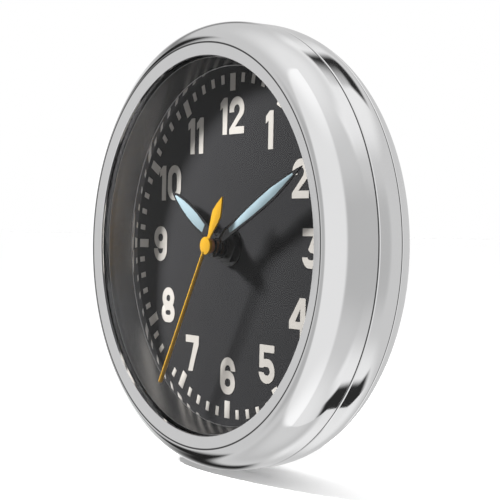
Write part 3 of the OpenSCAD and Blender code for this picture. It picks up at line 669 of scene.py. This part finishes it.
def around_tree():
    """Repeats a small piece around the clock's axis, leaving some places out"""
    tree = new_tree(
        "around_the_axis",
        [
            ("Count", "NodeSocketInt", 12),
            ("Leave Out Every", "NodeSocketInt", 0),
            ("Radius", "NodeSocketFloat", 0.05),
            ("Start Angle", "NodeSocketFloat", 0.0),
            ("Centre", "NodeSocketVector", (0, 0, 0)),
            ("Material", "NodeSocketMaterial", None),
        ],
    )
    wiring = Wiring(tree)
    given = wiring.given
    index = wiring.node("GeometryNodeInputIndex")
    share = wiring.node("ShaderNodeMath", {0: index, 1: given["Count"]}, operation="DIVIDE")
    turn = wiring.node(
        "ShaderNodeMath", {0: share, 1: 2 * math.pi, 2: given["Start Angle"]}, operation="MULTIPLY_ADD"
    )
    across = wiring.node("ShaderNodeMath", {0: turn}, operation="SINE")
    up = wiring.node("ShaderNodeMath", {0: turn}, operation="COSINE")
    way = wiring.node("ShaderNodeCombineXYZ", {"X": across, "Z": up})
    arm = wiring.node("ShaderNodeVectorMath", {0: way, "Scale": given["Radius"]}, operation="SCALE")
    place = wiring.node("ShaderNodeVectorMath", {0: arm, 1: given["Centre"]}, operation="ADD")
    points = wiring.node("GeometryNodePoints", {"Count": given["Count"], "Position": place})
    rest = wiring.node(
        "ShaderNodeMath", {0: index, 1: given["Leave Out Every"]}, operation="MODULO"
    )
    on_beat = wiring.node("ShaderNodeMath", {0: rest, 1: 0.5}, operation="LESS_THAN")
    wanted = wiring.node(
        "ShaderNodeMath", {0: given["Leave Out Every"], 1: 0.5}, operation="GREATER_THAN"
    )
    drop = wiring.node("ShaderNodeMath", {0: on_beat, 1: wanted}, operation="MULTIPLY")
    kept = wiring.node(
        "GeometryNodeDeleteGeometry", {"Geometry": points, "Selection": drop}, domain="POINT"
    )
    stored = wiring.node(
        "GeometryNodeInstanceOnPoints",
        {"Points": kept, "Instance": given["Geometry"]},
    )
    # The turn is worked out again from each copy's place, as its number changed when some were left out
    spot_now = wiring.node("GeometryNodeInputPosition")
    from_centre = wiring.node(
        "ShaderNodeVectorMath", {0: spot_now, 1: given["Centre"]}, operation="SUBTRACT"
    )
    parts = wiring.tree.nodes.new("ShaderNodeSeparateXYZ")
    wiring.tree.links.new(from_centre, parts.inputs[0])
    heading = wiring.node(
        "ShaderNodeMath", {0: parts.outputs["X"], 1: parts.outputs["Z"]}, operation="ARCTAN2"
    )
    spin = wiring.node("ShaderNodeCombineXYZ", {"Y": heading})
    turned = wiring.node("GeometryNodeRotateInstances", {"Instances": stored, "Rotation": spin})
    wiring.close(turned, given["Material"])
    return tree


TREES = {}


def grow(piece, tree_name, values):
    """Runs a geometry tree on a piece, with its inputs given by name, and keeps the plain mesh"""
    if tree_name not in TREES:
        TREES[tree_name] = {"turned_ring": turned_tree, "around_the_axis": around_tree}[tree_name]()
    tree = TREES[tree_name]
    modifier = piece.modifiers.new(tree_name, "NODES")
    modifier.node_group = tree
    keys = {item.name: item.identifier for item in tree.interface.items_tree if item.in_out == "INPUT"}
    for label, value in values.items():
        modifier[keys[label]] = value
    return baked(piece)


def turned(name, corners, slot_name, body, nodes, steps=4):
    """A ring turned from (r, z, edge radius) corners and shaded smooth"""
    outline = rounded(corners, steps)
    widest = max(point.x for point in outline)
    mesh = bpy.data.meshes.new(name)
    places = [(point.x - widest, FACE_Y - point.y, 0.0) for point in outline]
    count = len(places)
    mesh.from_pydata(places, [(i, (i + 1) % count) for i in range(count)], [])
    piece = link(name, mesh)
    grow(
        piece,
        "turned_ring",
        {
            "Radius": widest,
            "Segments": TURNED_SEGMENTS,
            "Axis Height": CENTRE_Z,
            "Material": FINISHES[slot_name],
        },
    )
    bm = bmesh.new()
    bm.from_mesh(piece.data)
    bmesh.ops.remove_doubles(bm, verts=bm.verts, dist=1e-7)
    bmesh.ops.recalc_face_normals(bm, faces=bm.faces)
    smooth_by_angle(bm, 40)
    bm.to_mesh(piece.data)
    bm.free()
    finish_piece(piece, body, slot_name, nodes)


def refined(name, node, slot_name, body, edge, segments=2, angle=38):
    """A frame node's shape with its edges broken, as a piece that stands for the node"""
    source = frame["nodes"][node]
    bm = bmesh.new()
    bm.from_mesh(source.data)
    bmesh.ops.remove_doubles(bm, verts=bm.verts, dist=2e-7)
    bmesh.ops.dissolve_limit(
        bm, angle_limit=math.radians(1.5), verts=bm.verts, edges=bm.edges, use_dissolve_boundaries=False
    )
    smooth_by_angle(bm, angle)
    mesh = bpy.data.meshes.new(name)
    bm.to_mesh(mesh)
    bm.free()
    piece = link(name, mesh)
    bevel = piece.modifiers.new("broken edges", "BEVEL")
    bevel.width = edge
    bevel.segments = segments
    bevel.limit_method = "ANGLE"
    bevel.angle_limit = math.radians(angle)
    bevel.use_clamp_overlap = True
    bevel.harden_normals = False
    bevel.miter_outer = "MITER_ARC"
    baked(piece)
    bm = bmesh.new()
    bm.from_mesh(piece.data)
    bmesh.ops.remove_doubles(bm, verts=bm.verts, dist=1e-7)
    smooth_by_angle(bm, angle)
    bm.to_mesh(piece.data)
    bm.free()
    finish_piece(piece, body, slot_name, [node])


def fused(name, pieces):
    """Several pieces' meshes as one piece"""
    bm = bmesh.new()
    for piece in pieces:
        bm.from_mesh(piece.data)
        bpy.data.objects.remove(piece)
    mesh = bpy.data.meshes.new(name)
    bm.to_mesh(mesh)
    bm.free()
    return link(name, mesh)


def bar_mesh(name, width, height, thick, edge):
    """A flat bar with broken edges, standing on y = 0 and facing -Y"""
    bm = bmesh.new()
    bmesh.ops.create_cube(bm, size=1.0)
    for vert in bm.verts:
        vert.co = Vector((vert.co.x * width, (vert.co.y - 0.5) * thick, vert.co.z * height))
    bmesh.ops.bevel(
        bm, geom=list(bm.edges), offset=edge, segments=2, affect="EDGES", profile=0.5
    )
    smooth_by_angle(bm, 35)
    mesh = bpy.data.meshes.new(name)
    bm.to_mesh(mesh)
    bm.free()
    return link(name, mesh)


def loops_mesh(name, loops):
    """A closed skin over loops of equal length, with both ends filled"""
    bm = bmesh.new()
    rows = [[bm.verts.new(point) for point in loop] for loop in loops]
    for near, far in zip(rows, rows[1:]):
        for index, vert in enumerate(near):
            after = (index + 1) % len(near)
            bm.faces.new((vert, near[after], far[after], far[index]))
    bm.faces.new(rows[0])
    bm.faces.new(rows[-1])
    bmesh.ops.recalc_face_normals(bm, faces=bm.faces)
    smooth_by_angle(bm, 35)
    mesh = bpy.data.meshes.new(name)
    bm.to_mesh(mesh)
    bm.free()
    return link(name, mesh)


# ---------------------------------------------------------------- pieces


def add_case():
    """The bezel, the middle band and the rear ring, turned from their outlines, and the rubber foot"""
    s = sizes()
    opening = CASE_R - s.rim_w
    crest = opening + s.face_w
    seat_r = opening + s.seat
    edge = s.edge
    lip_z = RIM_FRONT - s.face_drop - s.lip
    seam_front = -s.seam_front
    seam_back = seam_front - s.band_w
    rear_a = s.rear_drop / (1 - math.cos(REAR_ARC))
    rear_b = (-RIM_BACK - s.rear_flat) / math.sin(REAR_ARC)

    def rear_radius(z):
        turn = math.asin(min(1.0, max(0.0, (-z - s.rear_flat) / rear_b)))
        return CASE_R - rear_a * (1 - math.cos(turn))

    shoulder = []
    for step in range(1, SHOULDER_STEPS):
        turn = math.radians(90 * step / SHOULDER_STEPS)
        shoulder.append(
            (
                CASE_R + (crest - CASE_R) * (1 - math.sin(turn)),
                RIM_FRONT + (s.shoulder_z - RIM_FRONT) * (1 - math.cos(turn)),
                0.0,
            )
        )
    front = [(opening, RIM_FRONT - s.face_drop, edge), (crest, RIM_FRONT, edge * 2.2)]
    front += shoulder
    front += [
        (CASE_R, s.shoulder_z, 0.0),
        (CASE_R, seam_front + s.seam_bevel, edge * 0.6),
        (CASE_R - s.seam_bevel, seam_front, edge * 0.6),
        (CASE_R - s.wall, seam_front, 0.0),
        (CASE_R - s.wall, s.shoulder_z, 0.0),
        (seat_r + 2 * MM, lip_z - 3 * MM, 0.0),
        (seat_r, lip_z, 0.0),
        (opening, lip_z, edge * 0.7),
    ]
    turned("case_bezel", front, "polished_case", "case", ["bezel_ring"])

    def rear_points(z0, z1, steps):
        return [
            (rear_radius(z0 + (z1 - z0) * i / steps), z0 + (z1 - z0) * i / steps, 0.0)
            for i in range(steps + 1)
        ]

    inner = CASE_R - s.wall
    outside = rear_points(seam_front - s.seam_bevel, seam_back + s.seam_bevel, 14)
    outside[0] = (*outside[0][:2], edge * 0.6)
    outside[-1] = (*outside[-1][:2], edge * 0.6)
    band = [(CASE_R - s.seam_bevel, seam_front, edge * 0.6)]
    band += outside
    band += [
        (rear_radius(seam_back) - s.seam_bevel, seam_back, edge * 0.6),
        (inner, seam_back, 0.0),
        (inner, seam_front, 0.0),
    ]
    turned("case_middle", band, "polished_case", "case", ["case_band"])

    cover_low, cover_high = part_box("back_cover")
    wall_r = cover_high[0] + 0.3 * MM
    ledge_z = FACE_Y - cover_low[1]
    outside = rear_points(seam_back - s.seam_bevel, RIM_BACK, 18)
    outside[0] = (*outside[0][:2], edge * 0.6)
    outside[-1] = (*outside[-1][:2], edge * 3)
    rear = [(rear_radius(seam_back) - s.seam_bevel, seam_back, edge * 0.6)]
    rear += outside
    rear += [
        (wall_r, RIM_BACK, edge),
        (wall_r, ledge_z, 0.0),
        (wall_r - 5 * MM, ledge_z, 0.0),
        (wall_r - 5 * MM, ledge_z + 2 * MM, 0.0),
        (inner - 2 * MM, ledge_z + 2 * MM, 0.0),
        (inner - 2 * MM, seam_back, 0.0),
    ]
    turned("case_back_ring", rear, "polished_case", "case", ["rear_ring"])
    refined("rubber_foot", "foot_pad", "soft_rubber", "case", 0.3 * MM, 3)


def add_glass():
    """The polished ring between glass and dial, and the seal of the glass"""
    s = sizes()
    low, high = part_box("mirror_ring")
    top = FACE_Y - low[1]
    outer = high[0]
    opening = CASE_R - s.rim_w
    foot = opening - s.mirror_slope
    neck = opening - 0.4 * MM
    lean = (neck - foot) / top
    bead_low = s.mirror_foot
    bead_high = bead_low + 2.4 * s.bead
    ring = [
        (foot, 0.0, 0.1 * MM),
        (foot + lean * bead_low, bead_low, 0.0),
        (foot + lean * bead_low - s.bead, bead_low + 0.3 * s.bead, s.bead * 0.4),
        (foot + lean * bead_high - s.bead, bead_high - 0.3 * s.bead, s.bead * 0.4),
        (foot + lean * bead_high, bead_high, 0.0),
        (neck, top, 0.12 * MM),
        (outer, top, 0.0),
        (outer, top - 1 * MM, 0.0),
        (neck + 1.2 * MM, top - 1 * MM, 0.0),
        (foot + 1.2 * MM, 1 * MM, 0.0),
        (outer, 1 * MM, 0.0),
        (outer, 0.0, 0.0),
    ]
    turned("mirror_wall", ring, "mirror_trim", "case", ["mirror_ring"])
    seal_low, seal_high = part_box("crystal_gasket")
    seal = [
        (opening + 0.4 * MM, FACE_Y - seal_high[1], 0.08 * MM),
        (opening + 0.4 * MM, FACE_Y - seal_low[1], 0.08 * MM),
        (seal_high[0], FACE_Y - seal_low[1], 0.0),
        (seal_high[0], FACE_Y - seal_high[1], 0.0),
    ]
    turned("glass_seal", seal, "soft_rubber", "case", ["crystal_gasket"], steps=2)


def add_marks():
    """The printed numerals and the marks of the minute track"""
    s = sizes()
    outer = CASE_R - s.rim_w - s.mirror_slope - s.mark_inset
    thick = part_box("minute_track")[1][1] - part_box("minute_track")[0][1]
    rows = []
    for label, count, skip, width, length in (
        ("hour", 12, 0, s.hour_mark_w, s.hour_mark_l),
        ("minute", 60, 5, s.minute_mark_w, s.minute_mark_l),
    ):
        mark = bar_mesh(label + "_mark", width, length, thick, 0.04 * MM)
        rows.append(
            grow(
                mark,
                "around_the_axis",
                {
                    "Count": count,
                    "Leave Out Every": skip,
                    "Radius": outer - length / 2,
                    "Centre": spot(0, 0, 0),
                    "Material": FINISHES["dial_print"],
                },
            )
        )
    finish_piece(fused("dial_marks", rows), "case", "dial_print", ["minute_track"])
    refined("dial_numerals", "hour_numerals", "dial_print", "case", 0.035 * MM, 1, 30)


def add_hands():
    s = sizes()
    edge = s.small_edge
    refined("hour_leaf", "hour_hand", "hand_black", "hour", edge, 3)
    refined("hour_lume", "hour_inlay", "hand_inlay", "hour", edge * 0.6, 2)
    refined("minute_leaf", "minute_hand", "hand_black", "minute", edge, 3)
    refined("minute_lume", "minute_inlay", "hand_inlay", "minute", edge * 0.6, 2)
    refined("second_needle", "second_hand", "second_yellow", "seconds", edge * 1.2, 3)
    refined("second_bush", "second_collet", "copper_parts", "seconds", edge * 1.5, 3)
    refined("minute_bush", "minute_collet", "copper_parts", "minute", edge, 3)
    refined("hour_bush", "hour_collet", "brass_parts", "hour", edge, 3)


def add_centre():
    s = sizes()
    edge = s.small_edge
    # Painted shade: the nut, the brass washer and the nose take the hands' black enamel for the shadow under
    # the hands' stack; the nut is also dark of its own.
    refined("centre_nut", "hex_nut", "hand_black", "case", edge * 2.2, 3)
    refined("nut_washer", "brass_washer", "hand_black", "case", edge * 0.8, 2)
    refined("nose_thread", "threaded_nose", "hand_black", "case", edge * 1.2, 2)


def cross_reach(angle, long, half):
    """How far a plus-shaped recess reaches in a direction"""
    c = max(1e-6, abs(math.cos(angle)))
    n = max(1e-6, abs(math.sin(angle)))
    return max(min(long / c, half / n), min(half / c, long / n))


def screw_head(name, radius, height):
    """A domed head with a crossed recess, on y = 0 and facing +Y"""
    recess_long = radius * 0.56
    recess_half = radius * 0.13
    angles = [2 * math.pi * i / SCREW_SIDES for i in range(SCREW_SIDES)]
    loops = []

    def ring(reach, depth):
        loops.append([(reach * math.cos(a), depth, reach * math.sin(a)) for a in angles])

    ring(radius * 0.6, 0.0)
    ring(radius * 0.97, 0.0)
    ring(radius, height * 0.08)
    for step in range(7):
        turn = math.radians(15 + 11 * step)
        ring(radius * (0.6 + 0.4 * math.cos(turn)), height * (0.25 + 0.72 * math.sin(turn)))
    for depth, share in ((0.99, 1.04), (0.93, 1.0), (0.45, 0.82)):
        loop = []
        for a in angles:
            reach = cross_reach(a, recess_long, recess_half) * share
            loop.append((reach * math.cos(a), height * depth, reach * math.sin(a)))
        loops.append(loop)
    return loops_mesh(name, loops)


def add_screws():
    s = sizes()
    low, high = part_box("cover_screws")
    ring_r = (high[2] - low[2]) / 2 - s.screw_r
    cover_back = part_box("back_cover")[1][1]
    head = screw_head("cover_screw_heads", s.screw_r, s.screw_h)
    grow(
        head,
        "around_the_axis",
        {
            "Count": COVER_SCREWS,
            "Radius": ring_r,
            "Centre": (0.0, cover_back, CENTRE_Z),
            "Material": FINISHES["steel_parts"],
        },
    )
    finish_piece(head, "case", "steel_parts", ["cover_screws"])


def add_back():
    s = sizes()
    edge = s.small_edge
    refined("cover_plate", "back_cover", "cover_dark", "case", edge * 2, 3)
    refined("housing_back", "movement_rear", "movement_black", "case", edge * 2, 2)
    refined("housing_front", "movement_front", "movement_black", "case", edge * 2, 2)
    refined("setting_knob", "set_knob", "movement_black", "knob", edge * 0.8, 2)


def add_battery():
    """A cell with a rolled edge, an insulating shoulder and a nub, turned about X"""
    low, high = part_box("battery")
    axis_y = (low[1] + high[1]) / 2
    axis_z = (low[2] + high[2]) / 2
    radius = (high[2] - low[2]) / 2
    length = high[0] - low[0]
    nub = 2.6 * MM
    outline = [
        (0.0, radius * 0.55),
        (0.0, radius * 0.86),
        (0.25 * MM, radius * 0.93),
        (0.8 * MM, radius * 0.955),
        (1.0 * MM, radius * 0.985),
        (1.25 * MM, radius),
        (length - 3.0 * MM, radius),
        (length - 2.6 * MM, radius * 0.99),
        (length - 2.3 * MM, radius * 0.95),
        (length - 1.4 * MM, radius * 0.93),
        (length - 1.1 * MM, radius * 0.88),
        (length - 1.05 * MM, nub * 1.5),
        (length - 0.9 * MM, nub * 1.05),
        (length - 0.15 * MM, nub),
        (length, nub * 0.92),
        (length, nub * 0.4),
    ]
    angles = [2 * math.pi * i / BATTERY_SIDES for i in range(BATTERY_SIDES)]
    loops = [
        [(low[0] + along, axis_y + reach * math.cos(a), axis_z + reach * math.sin(a)) for a in angles]
        for along, reach in outline
    ]
    cell = loops_mesh("battery_cell", loops)
    finish_piece(cell, "case", "battery_wrap", ["battery"])


def add_stand():
    s = sizes()
    edge = s.small_edge
    refined("leg_bracket", "stand_bracket", "steel_parts", "case", edge * 1.5, 2)
    refined("bracket_screw_heads", "bracket_screws", "steel_parts", "case", edge * 2, 3)
    refined("hinge_pin", "stand_pin", "steel_parts", "case", edge * 2, 3)
    refined("folding_leg", "stand_leg", "polished_case", "stand", edge * 2.5, 3)
    refined("leg_foot", "leg_tip", "soft_rubber", "stand", edge * 2.5, 3)


def dress_nodes():
    """Gives every frame node the finish of its slot, so that those that still show have theirs"""
    slots = {row["node"]: row["material_slot"] for row in frame["record"]["subparts"]}
    for node, piece in frame["nodes"].items():
        material = FINISHES[slots[node]]
        if piece.material_slots:
            for held in piece.material_slots:
                held.material = material
        else:
            piece.data.materials.append(material)


# ---------------------------------------------------------------- stage

# Angles are in degrees. A turn is 0 at the front and grows towards three o'clock.
CAMERA_TURN = 54.11
CAMERA_RISE = 0.8
CAMERA_ROLL = 1.02
CAMERA_AWAY = 0.4654
CAMERA_SIDE = 0.00683
CAMERA_UP = -0.0014
CAMERA_LENS = 97.38
CAMERA_FILM = 36.0

# Name, turn, rise, distance and side of a square lamp in metres, and watts
LAMPS = (
    ("key_light", -58, 31, 0.4, 0.05, 5.6),
    ("top_light", 20, 58, 1.4, 1.0, 3.0),
)
FLOOR_HALF = 20.0
FLOOR_PALE = (0.995, 0.995, 0.995)
FLOOR_GREY = (0.975, 0.975, 0.975)

# Places in the room that polished metal mirrors: a low limit, a high limit and how soft both are.
# ACROSS is a turn, HEIGHT is above the horizon, and LEVEL is the height either way.
FRONT_RIGHT_ACROSS = (-12, 80, 5)
FAR_SIDE_ACROSS = (80, 136, 4)
BEHIND_LEVEL = (37, 55, 7)
NEAR_LEFT_ACROSS = (-36, -12, 6)
NEAR_LEFT_HEIGHT = (-34, 26, 8)
LIGHT_BOX_HEIGHT = (-22, 18, 14)
OPEN_SIDE_HEIGHT = (-18, 10, 4)
FRAME_ACROSS = (-126, -60, 4)
FRAME_HEIGHT = (-43, 28, 4)
UPPER_SPOT_ACROSS = (-178, -150, 4)
UPPER_SPOT_HEIGHT = (38, 50, 3)
LOWER_SPOT_HEIGHT = (-60, -41, 3)
LIGHT_BOX_GLOW = 1.25
DARK_SHARE = 0.97


def direction(azimuth, elevation):
    """A direction in the row's frame: azimuth 0 is the front, positive towards three o'clock"""
    a = math.radians(azimuth)
    e = math.radians(elevation)
    return Vector((math.sin(a) * math.cos(e), -math.cos(a) * math.cos(e), math.sin(e)))


def add_camera():
    back = direction(CAMERA_TURN, CAMERA_RISE)
    side = Vector((0, 0, 1)).cross(back).normalized()
    up = back.cross(side)
    roll = math.radians(CAMERA_ROLL)
    right = side * math.cos(roll) + up * math.sin(roll)
    top = up * math.cos(roll) - side * math.sin(roll)
    eye = spot(0, 0, 0) + back * CAMERA_AWAY + right * CAMERA_SIDE + top * CAMERA_UP
    data = bpy.data.cameras.new("studio_camera")
    data.lens = CAMERA_LENS
    data.sensor_width = CAMERA_FILM
    data.clip_start = 0.01
    data.clip_end = 50.0
    camera = bpy.data.objects.new("studio_camera", data)
    pose = Matrix((right, top, back)).transposed().to_4x4()
    pose.translation = eye
    camera.matrix_world = pose
    bpy.context.scene.collection.objects.link(camera)
    bpy.context.scene.camera = camera


def add_lamp(name, azimuth, elevation, away, side, watts):
    """A square lamp that faces the dial's centre and isn't itself mirrored"""
    data = bpy.data.lights.new(name, "AREA")
    data.shape = "SQUARE"
    data.size = side
    data.energy = watts
    lamp = bpy.data.objects.new(name, data)
    aim = direction(azimuth, elevation)
    lamp.location = spot(0, 0, 0) + aim * away
    lamp.rotation_euler = aim.to_track_quat("Z", "Y").to_euler()
    lamp.visible_glossy = False
    bpy.context.scene.collection.objects.link(lamp)


def between(value, low, high, soft):
    """1 where a shader value lies between two limits, fading to 0 past both"""
    return value.step(low - soft, low + soft) * (1.0 - value.step(high - soft, high + soft))


def mirrored_tones(room, across, height):
    """How bright the mirrored room is: pale, with one large soft light in a dark frame and two dark spots"""
    level = room.node("ShaderNodeMath", {"operation": "ABSOLUTE"}, {0: height})
    turned_away = room.node("ShaderNodeMath", {"operation": "ABSOLUTE"}, {0: across})
    front_right = between(across, *FRONT_RIGHT_ACROSS)
    far_side = between(across, *FAR_SIDE_ACROSS) * (1.0 - level.step(15, 42))
    behind = turned_away.step(128, 142) * between(level, *BEHIND_LEVEL)
    near_left = between(across, *NEAR_LEFT_ACROSS) * between(height, *NEAR_LEFT_HEIGHT)
    under_left = (0.0 - height).step(45, 62) * (1.0 - across.step(-15, 0))
    pale = 0.60 + level.step(40, 80) * 0.22 + front_right * 0.2 + behind * 0.24
    pale = pale - far_side * 0.12 - near_left * 0.14 - under_left * 0.17

    box_across = across.step(-134, -114) * (1.0 - across.step(-78.5, -75.5))
    light_box = box_across * between(height, *LIGHT_BOX_HEIGHT)
    open_side = across.step(-74, -72) * between(height, *OPEN_SIDE_HEIGHT)
    frame_dark = between(across, *FRAME_ACROSS) * between(height, *FRAME_HEIGHT) * (1.0 - open_side)
    upper_spot = between(across, *UPPER_SPOT_ACROSS) * between(height, *UPPER_SPOT_HEIGHT)
    lower_spot = across.step(158, 164) * between(height, *LOWER_SPOT_HEIGHT)
    spots = room.node("ShaderNodeMath", {"operation": "MAXIMUM"}, {0: upper_spot, 1: lower_spot})
    dark = room.node("ShaderNodeMath", {"operation": "MAXIMUM"}, {0: spots, 1: frame_dark})
    return pale * (1.0 - dark * DARK_SHARE) * (1.0 - light_box) + light_box * LIGHT_BOX_GLOW


def add_room():
    """A plain white room for the eye, a soft one behind for the floor, and a pattern for polished metal"""
    world = bpy.data.worlds.new("studio")
    bpy.context.scene.world = world
    world.use_nodes = True
    room = Recipe(world.node_tree)
    way = room.node("ShaderNodeTexCoord", out=0)
    x = room.part(way, "X")
    y = room.part(way, "Y")
    z = room.part(way, "Z")
    degrees = 180 / math.pi
    across = room.node("ShaderNodeMath", {"operation": "ARCTAN2"}, {0: x, 1: 0.0 - y}) * degrees
    height = room.node("ShaderNodeMath", {"operation": "ARCSINE"}, {0: z}) * degrees

    def glow(strength):
        return room.node("ShaderNodeBackground", None, {"Color": (1, 1, 1), "Strength": strength})

    plain = glow(1.0)
    fill = glow(0.2 + y.step(-0.1, 0.3) * 1.85)
    mirrored = glow(mirrored_tones(room, across, height))
    to_camera = room.node("ShaderNodeLightPath", out="Is Camera Ray")
    to_gloss = room.node("ShaderNodeLightPath", out="Is Glossy Ray")
    unseen = room.node("ShaderNodeMixShader", None, {0: to_gloss, 1: fill, 2: mirrored})
    both = room.node("ShaderNodeMixShader", None, {0: to_camera, 1: unseen, 2: plain})
    room.node("ShaderNodeOutputWorld", None, {"Surface": both})


def add_floor():
    bm = bmesh.new()
    for x, y in ((-1, -1), (1, -1), (1, 1), (-1, 1)):
        bm.verts.new((x * FLOOR_HALF, y * FLOOR_HALF, 0.0))
    bm.faces.new(bm.verts)
    mesh = bpy.data.meshes.new("studio_floor")
    bm.to_mesh(mesh)
    bm.free()
    floor = link("studio_floor", mesh)
    finish = Finish("pale_floor", (0.9, 0.9, 0.9))
    grain = finish.noise(300.0, 2.0)
    floor.data.materials.append(
        finish.coat(
            Base_Color=finish.mix(grain * 0.1, FLOOR_PALE, FLOOR_GREY),
            Roughness=0.9,
            Specular_IOR_Level=0.0,
        )
    )
    floor.visible_glossy = False
    floor.visible_diffuse = False


def set_stage():
    add_camera()
    add_room()
    add_floor()
    for lamp in LAMPS:
        add_lamp(*lamp)
    bpy.context.scene.view_settings.view_transform = "Standard"


# ---------------------------------------------------------------- add-on


class CLOCK_OT_set_stage(bpy.types.Operator):
    """Set the floor, light and camera"""

    bl_idname = "clock.set_stage"
    bl_label = "Stage"
    bl_options = {"REGISTER", "UNDO"}

    def execute(self, context):
        set_stage()
        return {"FINISHED"}


class CLOCK_OT_add_case(bpy.types.Operator):
    """Turn the bezel, the band and the rear ring"""

    bl_idname = "clock.add_case"
    bl_label = "Case"
    bl_options = {"REGISTER", "UNDO"}

    def execute(self, context):
        add_case()
        return {"FINISHED"}


class CLOCK_OT_add_glass(bpy.types.Operator):
    """Add the mirror ring and the seal of the glass"""

    bl_idname = "clock.add_glass"
    bl_label = "Glass"
    bl_options = {"REGISTER", "UNDO"}

    def execute(self, context):
        add_glass()
        return {"FINISHED"}


class CLOCK_OT_add_marks(bpy.types.Operator):
    """Print the numerals and marks"""

    bl_idname = "clock.add_marks"
    bl_label = "Marks"
    bl_options = {"REGISTER", "UNDO"}

    def execute(self, context):
        add_marks()
        return {"FINISHED"}


class CLOCK_OT_add_hands(bpy.types.Operator):
    """Add the three hands and their bushes"""

    bl_idname = "clock.add_hands"
    bl_label = "Hands"
    bl_options = {"REGISTER", "UNDO"}

    def execute(self, context):
        add_hands()
        return {"FINISHED"}


class CLOCK_OT_add_centre(bpy.types.Operator):
    """Add the nut and the threaded nose"""

    bl_idname = "clock.add_centre"
    bl_label = "Centre"
    bl_options = {"REGISTER", "UNDO"}

    def execute(self, context):
        add_centre()
        return {"FINISHED"}


class CLOCK_OT_add_screws(bpy.types.Operator):
    """Add the cover's screws"""

    bl_idname = "clock.add_screws"
    bl_label = "Screws"
    bl_options = {"REGISTER", "UNDO"}

    def execute(self, context):
        add_screws()
        return {"FINISHED"}


class CLOCK_OT_add_back(bpy.types.Operator):
    """Add the back cover and the housing"""

    bl_idname = "clock.add_back"
    bl_label = "Back"
    bl_options = {"REGISTER", "UNDO"}

    def execute(self, context):
        add_back()
        return {"FINISHED"}


class CLOCK_OT_add_battery(bpy.types.Operator):
    """Add the battery"""

    bl_idname = "clock.add_battery"
    bl_label = "Battery"
    bl_options = {"REGISTER", "UNDO"}

    def execute(self, context):
        add_battery()
        return {"FINISHED"}


class CLOCK_OT_add_stand(bpy.types.Operator):
    """Add the folding leg and its hinge"""

    bl_idname = "clock.add_stand"
    bl_label = "Stand"
    bl_options = {"REGISTER", "UNDO"}

    def execute(self, context):
        add_stand()
        return {"FINISHED"}


class CLOCK_OT_dress_nodes(bpy.types.Operator):
    """Give the inner parts their finish"""

    bl_idname = "clock.dress_nodes"
    bl_label = "Finishes"
    bl_options = {"REGISTER", "UNDO"}

    def execute(self, context):
        dress_nodes()
        return {"FINISHED"}


OPERATORS = [
    CLOCK_OT_set_stage,
    CLOCK_OT_add_case,
    CLOCK_OT_add_glass,
    CLOCK_OT_add_marks,
    CLOCK_OT_add_hands,
    CLOCK_OT_add_centre,
    CLOCK_OT_add_screws,
    CLOCK_OT_add_back,
    CLOCK_OT_add_battery,
    CLOCK_OT_add_stand,
    CLOCK_OT_dress_nodes,
]


class CLOCK_PT_pieces(bpy.types.Panel):
    """Lists the clock's sizes and the steps that build it"""

    bl_label = "Mantel Clock"
    bl_idname = "CLOCK_PT_pieces"
    bl_space_type = "VIEW_3D"
    bl_region_type = "UI"
    bl_category = "Clock"

    def draw(self, context):
        column = self.layout.column()
        for group in (context.scene.clock_sizes, context.scene.clock_colours):
            for key in group.__annotations__:
                column.prop(group, key)
        for operator in OPERATORS:
            column.operator(operator.bl_idname)


CLASSES = [ClockSizes, ClockColours, *OPERATORS, CLOCK_PT_pieces]


def register():
    for item in CLASSES:
        bpy.utils.register_class(item)
    bpy.types.Scene.clock_sizes = bpy.props.PointerProperty(type=ClockSizes)
    bpy.types.Scene.clock_colours = bpy.props.PointerProperty(type=ClockColours)


def unregister():
    del bpy.types.Scene.clock_colours
    del bpy.types.Scene.clock_sizes
    for item in reversed(CLASSES):
        bpy.utils.unregister_class(item)


def main():
    register()
    FINISHES.update(make_finishes())
    for operator in OPERATORS:
        getattr(bpy.ops.clock, operator.bl_idname.split(".")[1])()


if __name__ == "__main__":
    main()
